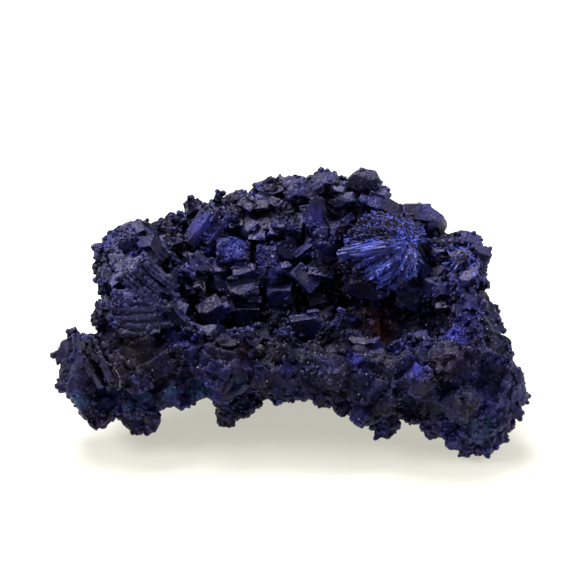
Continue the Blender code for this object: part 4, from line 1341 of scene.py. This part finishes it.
rosette_body = combed_dome("rosette_body", ROSETTE_CENTRE, (2.6, 2.75, 1.9), (0.55, -0.4, 0.74), 65)
rosette_tree = BVHTree.FromObject(rosette_body, bpy.context.evaluated_depsgraph_get())
print("rosette body triangles:", triangles_of(rosette_body))

# %% [markdown]
# ## The rosette's blades
# Long blades fan out below the heart, and short curled ones cover the dome above it. A third of the curls
# share the fan's brighter stone, so that the two run into each other. A sheaf of longer blades lies across
# the rosette, from its left side to its heart.

# %% The rosette's blades
FAN_BLADES, SHEAF_BLADES = 2900, 150
CURLS, HEART_CURLS = 1600, 110
SHEAF_LEFT, SHEAF_RIGHT = (349, 253), (404, 246)


def below(head, weight):
    """The same weight, but only for what the camera sees lower than a head, or to its left."""
    def weigh(points, normals):
        drop = head.dot(picture_up) - points @ picture_up
        right = np.maximum(points[:, 0] - head.x, 0.0)
        return weight(points, normals) * ramp(drop - 1.2 * right, 0.0, 0.3)
    return weigh


def above(head, weight):
    """The same weight, but only for what the camera sees higher than a head."""
    level = head.dot(picture_up)
    return lambda points, normals: weight(points, normals) * ramp(points @ picture_up - level, -0.3, 0.0)


spots, ways = sow(rosette_body, below(ROSETTE_HEAD, near(ROSETTE_CENTRE, 4.2)), FAN_BLADES, 0.08, rng)
rosette_rows = radiate(spots, ways, ROSETTE_HEAD, (0.4, 1.0), 0.12, 0.0, 0.11, rng)
spots, ways = sow(rosette_body, above(ROSETTE_HEAD, near(ROSETTE_CENTRE, 3.6)), CURLS, 0.115, rng)
curl_rows = radiate(spots, ways, ROSETTE_HEAD, (0.22, 0.5), 0.12, 0.08, 0.7, rng)
spots, ways = sow(rosette_body, near(ROSETTE_HEAD, 0.9), HEART_CURLS, 0.10, rng)
curl_rows += radiate(spots, ways, ROSETTE_HEAD, (0.2, 0.4), 0.13, 0.3, 1.2, rng)
curls = plant("curls", blades, curl_rows[::3] + curl_rows[1::3], 62)
rosette_rows += curl_rows[2::3]

left_end, right_end = (seen_at(*at, rosette_tree)[0] for at in (SHEAF_LEFT, SHEAF_RIGHT))
sheaf_run, sheaf_drop = SHEAF_RIGHT[0] - SHEAF_LEFT[0], SHEAF_LEFT[1] - SHEAF_RIGHT[1]
for _ in range(SHEAF_BLADES):
    share = rng.uniform(0.0, 0.75)
    x = SHEAF_LEFT[0] + sheaf_run * share
    y = SHEAF_LEFT[1] - sheaf_drop * share + rng.uniform(-4.5, 4.5) * (1.0 - 0.6 * share)
    spot, way = seen_at(x, y, rosette_tree)
    if spot:
        along = right_end - left_end + Vector(rng.normal(0, 0.15, 3)) + picture_up * (252 - y) * 0.08
        size = (rng.uniform(0.9, 1.9), rng.uniform(0.12, 0.20), 0.12)
        rosette_rows.append((spot + way * 0.10, size, along, way + Vector(rng.normal(0, 0.3, 3))))
rosette = plant("rosette", blades, rosette_rows, 61)

# %% [markdown]
# ## The spray
# A smaller spray of the same thin blades hangs down at the right end, straight on the crystals there.

# %% Spray
SPRAY_BLADES = 420
SPRAY_MIDDLE = SPRAY_HEAD + Vector((0.4, -0.9, -1.3))

spots, ways = sow(skin, below(SPRAY_HEAD, near(SPRAY_MIDDLE, 2.1)), SPRAY_BLADES, 0.13, rng)
spray_rows = within_outline(radiate(spots, ways, SPRAY_HEAD, (0.6, 1.4), 0.15, -0.02, 0.07, rng))
spray = plant("spray", blades, spray_rows, 63)

# %% [markdown]
# ## Druse on single crystals
# Some of the large crystals of the slope carry a fine druse on top, like coarse sugar. It is made of the
# same grains as elsewhere, only smaller and packed close.

# %% Druse
DRUSE = [
    # seen in the picture at, reach in mm, how many grains
    (234, 252, 1.15, 420),
    (267, 257, 0.75, 200),
    (287, 222, 0.9, 240),
    (118, 238, 1.3, 300),
    (455, 325, 1.6, 300),
    (480, 300, 1.5, 240),
]
druse_rows = []
for x, y, reach, count in DRUSE:
    middle, _ = seen_at(x, y, skin_tree)
    spots, ways = sow(skin, near(middle, reach), count, 0.13, rng)
    druse_rows += seat(spots, ways, (0.14, 0.26), 0.05, 0.9, rng)
druse = plant("druse", grains, druse_rows, 64)

# %% [markdown]
# ## Dust
# Pale dust specks lie all over the specimen, on whatever doesn't look down.

# %% Dust
SPECKS_WANTED = 1700


def dusty(points, normals):
    """More dust the more a spot looks up."""
    return ramp(normals[:, 2], -0.4, 0.3)


spots, ways = sow(skin, dusty, SPECKS_WANTED, 0.15, rng)
speck_rows = seat(spots, ways, (0.035, 0.085), -0.3, 1.0, rng)
dust_specks = plant("dust_specks", specks, speck_rows, 71)

# %% [markdown]
# ## Lint
# Two fibres of lint have caught on the specimen, one on a block left of the middle and one on the left end
# of the rim. Each fibre is a thin tube along a smooth curve, and its points are laid on the surface where
# it is seen.

# %% Lint
FIBRE_LIFT = 0.07
SHORT_FIBRE = [(199, 271), (204, 273), (207, 278), (204, 284), (205, 288), (201, 287)]
LONG_FIBRE = [(94, 349), (100, 356), (107, 362), (114, 368), (119, 376), (120, 383), (117, 391)]


def lay_fibre(name, seen, radius):
    """A thin round tube through the spots that are seen at those places in the picture."""
    points = []
    for x, y in seen:
        spot, _ = seen_at(x, y, skin_tree)
        if spot:
            points.append(spot + to_camera * FIBRE_LIFT)
    curve = bpy.data.curves.new(name, "CURVE")
    curve.dimensions = "3D"
    curve.bevel_depth = radius * MM
    curve.bevel_resolution = 2
    curve.use_fill_caps = True
    line = curve.splines.new("BEZIER")
    line.bezier_points.add(len(points) - 1)
    for knot, point in zip(line.bezier_points, points):
        knot.co = point * MM
        knot.handle_left_type = knot.handle_right_type = "AUTO"
    fibre = bpy.data.objects.new(name, curve)
    bpy.context.scene.collection.objects.link(fibre)
    pick(fibre)
    bpy.ops.object.convert(target="MESH")
    fibre = bpy.context.object
    print(name, "triangles:", triangles_of(fibre))
    return fibre


lint_short = lay_fibre("lint_short", SHORT_FIBRE, 0.03)
lint_long = lay_fibre("lint_long", LONG_FIBRE, 0.011)

# %% [markdown]
# ## Helpers for materials
# What several materials share is built once as a group with named sockets. Noise is given by the size of
# its features in mm, which is easier to judge than a scale.

# %% Material helpers
def new_group(name, inputs, outputs):
    """An empty shader group with named sockets, and its own start and end nodes."""
    tree = bpy.data.node_groups.new(name, "ShaderNodeTree")
    for label, kind, value in inputs:
        socket = tree.interface.new_socket(label, in_out="INPUT", socket_type=kind)
        socket.default_value = value
    for label, kind in outputs:
        tree.interface.new_socket(label, in_out="OUTPUT", socket_type=kind)
    w = Wires(tree)
    return tree, w, w.nodes.new("NodeGroupInput").outputs, w.nodes.new("NodeGroupOutput").inputs


def noise(w, place, size, detail=2.0, rough=0.5):
    """Noise whose features are about that many mm across."""
    node = w.nodes.new("ShaderNodeTexNoise")
    node.inputs["Scale"].default_value = 1.0 / (size * MM)
    node.inputs["Detail"].default_value = detail
    node.inputs["Roughness"].default_value = rough
    w.links.new(place, node.inputs["Vector"])
    return node.outputs["Fac"]


def mix(w, factor, a, b):
    """One colour over another."""
    node = w.nodes.new("ShaderNodeMix")
    node.data_type = "RGBA"
    for socket, value in ((node.inputs["Factor"], factor), (node.inputs["A"], a), (node.inputs["B"], b)):
        if isinstance(value, bpy.types.NodeSocket):
            w.links.new(value, socket)
        elif socket.type == "VALUE":
            socket.default_value = value
        else:
            socket.default_value = (*value, 1.0)
    return node.outputs["Result"]


COLOUR, VALUE, VECTOR = "NodeSocketColor", "NodeSocketFloat", "NodeSocketVector"
print("material helpers:", [made.__name__ for made in (new_group, noise, mix)])

# %% [markdown]
# ## The stone
# Azurite is so deep a blue that thick crystals look nearly black, and only thin edges, broken faces and fine
# grains show the bright blue. So the colour runs between a near black and a strong blue, in soft patches of
# about two millimetres, with each small cell a little lighter or darker than its neighbours. The sheen is
# glassy on clean faces and dull where dust lies. All this is one node group, used by every stone material.

# %% Stone group
azurite, w, given, gives = new_group(
    "azurite",
    [
        ("Deep", COLOUR, (0.004, 0.003, 0.022, 1.0)),
        ("Blue", COLOUR, (0.012, 0.022, 0.17, 1.0)),
        ("Violet", COLOUR, (0.030, 0.024, 0.075, 1.0)),
        ("Mottle", VALUE, 0.5),
    ],
    [("Colour", COLOUR), ("Roughness", VALUE), ("Height", VALUE)],
)
place = w.nodes.new("ShaderNodeTexCoord").outputs["Object"]
colour = mix(w, w.ramp(noise(w, place, 2.2, 3.0), 0.42, 0.66), given["Deep"], given["Blue"])
colour = mix(w, w.ramp(noise(w, place, 1.3, 2.0), 0.52, 0.75, 0.0, 0.7), colour, given["Violet"])
cells = w.nodes.new("ShaderNodeSeparateColor")
w.links.new(w.voronoi(place, 0.5).outputs["Color"], cells.inputs[0])
veins = w.ramp(noise(w, place, 0.55, 4.0, 0.6), 0.56, 0.70, 0.0, 0.75)
colour = mix(w, veins, colour, given["Blue"])
shade = w.ramp(cells.outputs["Red"], 0.0, 1.0, 0.75, 1.25)
speckle = w.ramp(noise(w, place, 0.17, 3.0), 0.33, 0.67, -0.65, 0.75)
shade = w.math("MULTIPLY", shade, w.math("MULTIPLY_ADD", speckle, given["Mottle"], 1.0))
w.links.new(w.scaled(colour, shade), gives["Colour"])
w.links.new(w.ramp(noise(w, place, 0.7, 3.0), 0.3, 0.7, 0.28, 0.6), gives["Roughness"])
fine = w.math("MULTIPLY_ADD", noise(w, place, 0.07, 1.0), 0.4, noise(w, place, 0.24, 2.0))
w.links.new(fine, gives["Height"])
print("stone nodes:", len(azurite.nodes))

# %% [markdown]
# ## Stains and painted light
# The outside carries olive brown dust, a few teal spots of another copper mineral, streaks of pure bright
# blue, and there is rust in the deepest pit. Other balls are painted light: dark ones paint shade in deep and
# overhung places, and lavender ones paint the sheen of lit faces. Each is a soft ball in space with a ragged
# edge, so it needs no image and runs over whatever surface is there. The group gives the mask, and each
# material that uses it strings its balls on each other.

# %% Stain and painted light group
stain, w, given, gives = new_group(
    "stain",
    [("Centre", VECTOR, (0.0, 0.0, 0.0)), ("Radius", VALUE, 0.001), ("Ragged", VALUE, 1.6)],
    [("Mask", VALUE)],
)
place = w.nodes.new("ShaderNodeTexCoord").outputs["Object"]
far = w.math("DIVIDE", w.vector("LENGTH", w.vector("SUBTRACT", place, given["Centre"])), given["Radius"])
wave = w.math("SUBTRACT", noise(w, place, 0.5, 3.0, 0.65), 0.5)
edge = w.math("MULTIPLY_ADD", wave, given["Ragged"], w.math("SUBTRACT", 1.0, far))
w.links.new(w.ramp(edge, 0.0, 0.7), gives["Mask"])
print("stain nodes:", len(stain.nodes))

# %% [markdown]
# ## Where the stains and the painted light are
# Each row is one ball: where it is seen, how large it is, its colour and how strongly it covers. Later
# rows lie over earlier ones, so the broad patches of painted shade and the olive ones come first and the small
# pale ones last.

# %% Stains and painted light
PALE, OLIVE, TEAL = (0.10, 0.09, 0.13), (0.015, 0.013, 0.014), (0.022, 0.062, 0.15)
BRIGHT, AZURE, RUST = (0.032, 0.032, 0.27), (0.020, 0.046, 0.25), (0.065, 0.013, 0.001)
# The first of these two is a painted sheen, the lavender of lit faces, and the second is painted shade for
# deep and overhung places.
PAINTED_LIT_FACE, PAINTED_SHADE = (0.036, 0.034, 0.115), (0.0042, 0.0034, 0.0095)
STAINS_AND_PAINTED_LIGHT = [
    # seen in the picture at, radius in mm, colour, strength
    (300, 366, 2.8, PAINTED_SHADE, 0.6),
    (350, 342, 1.9, PAINTED_SHADE, 0.55),
    (306, 322, 1.1, PAINTED_SHADE, 0.5),
    (265, 338, 2.0, PAINTED_SHADE, 0.5),
    (212, 342, 1.9, PAINTED_SHADE, 0.45),
    (150, 372, 2.0, PAINTED_SHADE, 0.4),
    (388, 398, 2.0, PAINTED_SHADE, 0.5),
    (345, 398, 1.8, PAINTED_SHADE, 0.35),
    (436, 276, 1.5, PAINTED_SHADE, 0.6),
    (132, 352, 2.1, OLIVE, 0.85),
    (98, 350, 1.3, OLIVE, 0.7),
    (230, 350, 2.0, OLIVE, 0.5),
    (320, 352, 1.9, OLIVE, 0.3),
    (390, 360, 1.5, OLIVE, 0.6),
    (428, 372, 2.0, OLIVE, 0.5),
    (466, 412, 1.6, OLIVE, 0.65),
    (275, 355, 1.4, OLIVE, 0.5),
    (205, 386, 1.2, TEAL, 0.6),
    (78, 398, 1.0, TEAL, 0.6),
    (142, 396, 0.9, TEAL, 0.55),
    (168, 392, 0.8, TEAL, 0.4),
    (482, 430, 1.6, TEAL, 0.5),
    (240, 384, 0.8, TEAL, 0.35),
    (410, 400, 0.7, TEAL, 0.3),
    (130, 408, 0.7, TEAL, 0.4),
    (113, 321, 0.6, AZURE, 0.45),
    (355, 252, 0.9, AZURE, 0.8),
    (374, 251, 1.0, AZURE, 0.7),
    (234, 246, 1.0, AZURE, 0.5),
    (206, 222, 0.7, AZURE, 0.5),
    (76, 392, 0.5, AZURE, 0.6),
    (455, 336, 1.1, BRIGHT, 0.85),
    (417, 368, 1.0, BRIGHT, 0.75),
    (354, 358, 0.6, BRIGHT, 0.7),
    (176, 338, 0.9, BRIGHT, 0.25),
    (286, 368, 0.8, BRIGHT, 0.2),
    (490, 400, 1.4, BRIGHT, 0.35),
    (200, 226, 1.2, BRIGHT, 0.45),
    (314, 218, 1.0, BRIGHT, 0.4),
    (234, 252, 1.1, BRIGHT, 0.45),
    (395, 250, 1.1, BRIGHT, 0.5),
    (412, 268, 1.2, BRIGHT, 0.4),
    (380, 225, 1.0, BRIGHT, 0.4),
    (380, 322, 1.2, RUST, 0.95),
    (384, 334, 1.1, RUST, 1.0),
    (366, 312, 0.6, RUST, 0.7),
    (247, 350, 0.3, RUST, 0.9),
    (136, 307, 2.0, PAINTED_LIT_FACE, 0.65),
    (150, 280, 1.7, PAINTED_LIT_FACE, 0.7),
    (104, 352, 1.1, PAINTED_LIT_FACE, 0.4),
    (512, 392, 2.4, PAINTED_LIT_FACE, 0.65),
    (478, 442, 1.7, PAINTED_LIT_FACE, 0.5),
    (480, 246, 1.8, PAINTED_LIT_FACE, 0.4),
    (72, 376, 1.2, PAINTED_LIT_FACE, 0.35),
    (442, 307, 0.5, PALE, 0.8),
    (459, 254, 0.6, PALE, 0.7),
    (237, 196, 0.7, PALE, 0.35),
    (259, 346, 0.45, PALE, 0.7),
    (304, 276, 0.5, PALE, 0.4),
]
stain_spots = [seen_at(x, y, skin_tree)[0] for x, y, *_ in STAINS_AND_PAINTED_LIGHT]
print("stains:", len(stain_spots))

# %% [markdown]
# ## The stone's materials
# The same stone has three looks. The crust is dull and nearly black. The crystals are glassier and bluer,
# and each grain has a tint of its own. The thin blades let light through, and that light is painted into their
# colour, so they are the brightest. On all of them crests are lighter, partly as worn stone and partly as a
# painted highlight, and on the crust painted shade darkens the cracks and the hollow.

# %% Stone materials
# painted shade: the near black that the crust inside the hollow is mixed towards
HOLLOW_PAINTED_SHADE = (0.0025, 0.0020, 0.006)
BUMP_DEPTH = 0.06
STONE_IOR = 1.5
BLUE_GLOSS = (0.66, 0.58, 1.0, 1.0)


def read_mark(w, name):
    """A number that the mesh carries on its corner points."""
    node = w.nodes.new("ShaderNodeAttribute")
    node.attribute_name = name
    return node.outputs["Fac"]


def stone_material(name, deep, blue, violet, crest, mottle, bump, gloss, tinted=False):
    """Azurite with its stains and painted light: crests lighter, partly wear and partly a painted highlight,
    and painted shade in its cracks and, on the crust, in the hollow.
    """
    material = bpy.data.materials.new(name)
    material.use_nodes = True
    w = Wires(material.node_tree)
    shader = w.nodes["Principled BSDF"]
    body = w.nodes.new("ShaderNodeGroup")
    body.node_tree = azurite
    for label, value in (("Deep", deep), ("Blue", blue), ("Violet", violet)):
        body.inputs[label].default_value = (*value, 1.0)
    body.inputs["Mottle"].default_value = mottle
    colour = body.outputs["Colour"]
    if tinted:
        colour = w.scaled(colour, w.ramp(read_mark(w, "tint"), 0.0, 1.0, 0.7, 1.3))
    for spot, (_, _, radius, paint, strength) in zip(stain_spots, STAINS_AND_PAINTED_LIGHT):
        ball = w.nodes.new("ShaderNodeGroup")
        ball.node_tree = stain
        ball.inputs["Centre"].default_value = spot * MM
        ball.inputs["Radius"].default_value = radius * MM
        colour = mix(w, w.math("MULTIPLY", ball.outputs["Mask"], strength), colour, paint)
    bend = read_mark(w, "crest")
    place = w.nodes.new("ShaderNodeTexCoord").outputs["Object"]
    # Painted highlight, partly real wear: crests are lightened towards the crest colour, in broken patches.
    broken = w.ramp(noise(w, place, 0.35, 3.0), 0.4, 0.65, 0.15, 1.0)
    worn = w.math("MULTIPLY", w.ramp(bend, 0.62, 0.9, 0.0, 0.8), broken)
    colour = mix(w, worn, colour, crest)
    if not tinted:
        # Painted shade: the colour is darkened where the bend mark says crack.
        painted_crack_shade = w.scaled(colour, w.ramp(bend, 0.25, 0.5, 0.45, 1.0))
        # Painted shade: where the zone mark says inside, the crust is mixed up to three quarters of the way
        # towards a near black.
        hidden = w.ramp(read_mark(w, "outside"), 0.0, 1.0, 0.75, 0.0)
        colour = mix(w, hidden, painted_crack_shade, HOLLOW_PAINTED_SHADE)
    w.links.new(colour, shader.inputs["Base Color"])
    w.links.new(body.outputs["Roughness"], shader.inputs["Roughness"])
    rough = w.nodes.new("ShaderNodeBump")
    rough.inputs["Strength"].default_value = bump
    rough.inputs["Distance"].default_value = BUMP_DEPTH * MM
    w.links.new(body.outputs["Height"], rough.inputs["Height"])
    w.links.new(rough.outputs["Normal"], shader.inputs["Normal"])
    shader.inputs["IOR"].default_value = STONE_IOR
    shader.inputs["Specular IOR Level"].default_value = gloss
    shader.inputs["Specular Tint"].default_value = BLUE_GLOSS
    print(name, "nodes:", len(material.node_tree.nodes))
    return material


crust_stone = stone_material(
    "azurite crust",
    deep=(0.0029, 0.0017, 0.0085),
    blue=(0.0083, 0.0084, 0.058),
    violet=(0.015, 0.010, 0.029),
    crest=(0.022, 0.019, 0.065),
    mottle=1.1,
    bump=1.0,
    gloss=0.19,
)
crystal_stone = stone_material(
    "azurite crystals",
    deep=(0.0030, 0.0020, 0.015),
    blue=(0.0105, 0.012, 0.105),
    violet=(0.016, 0.011, 0.046),
    crest=(0.048, 0.047, 0.19),
    mottle=0.6,
    bump=0.7,
    gloss=0.44,
    tinted=True,
)
# Painted light: the blades' colours are partly their own lighter blue and partly the light that they let
# through, painted in.
blade_stone = stone_material(
    "azurite blades",
    deep=(0.026, 0.032, 0.17),
    blue=(0.070, 0.105, 0.55),
    violet=(0.10, 0.10, 0.36),
    crest=(0.05, 0.05, 0.2),
    mottle=0.6,
    bump=0.4,
    gloss=0.5,
    tinted=True,
)

# %% [markdown]
# ## Dust and lint materials
# Both are dull and pale. Even so small a thing isn't one flat colour: the dust is bluer where it is thin,
# and lint is darker where it is dirty.

# %% Pale materials
def pale_material(name, colour, darker, size):
    """A pale mineral or fibre, mottled at one size."""
    material = bpy.data.materials.new(name)
    material.use_nodes = True
    w = Wires(material.node_tree)
    shader = w.nodes["Principled BSDF"]
    place = w.nodes.new("ShaderNodeTexCoord").outputs["Object"]
    w.links.new(mix(w, w.ramp(noise(w, place, size), 0.35, 0.65), darker, colour), shader.inputs["Base Color"])
    w.links.new(w.ramp(noise(w, place, size * 2), 0.3, 0.7, 0.5, 0.9), shader.inputs["Roughness"])
    return material


dust_white = pale_material("pale dust", (0.42, 0.42, 0.50), (0.10, 0.10, 0.17), 0.9)
lint_white = pale_material("lint", (0.60, 0.60, 0.62), (0.32, 0.32, 0.36), 0.15)
print("pale materials:", dust_white.name, "and", lint_white.name)

# %% [markdown]
# ## Putting it together
# Every piece rides on the specimen's one body and gets one material slot that holds its material. The three
# blocks of the mass stand for the solid, which is then hidden.

# %% Finish
FINISH = [
    # The rosette's body has no zone or bend marks, so the crust material paints it nearly black with the
    # hollow's painted shade, and it shows as dark gaps between the blades.
    (crust_stone, [*mass, rosette_body]),
    (crystal_stone, [*crystals, small_crystals, granules, outer_grains, druse, curls]),
    (blade_stone, [rosette, spray]),
    (dust_white, [dust_specks]),
    (lint_white, [lint_short, lint_long]),
]
total = 0
for material, pieces in FINISH:
    for piece in pieces:
        lift_to_floor(piece)
        piece.data.materials.clear()
        piece.data.materials.append(material)
        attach(piece, "root")
        total += triangles_of(piece)
for block in mass:
    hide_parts(NODE)
for helper in (ground, skin):
    bpy.data.objects.remove(helper, do_unlink=True)
for obj in list(shelf.all_objects):
    bpy.data.objects.remove(obj, do_unlink=True)
print("triangles in all:", total)

# %% [markdown]
# The dressed specimen may only be a little larger than its solid.
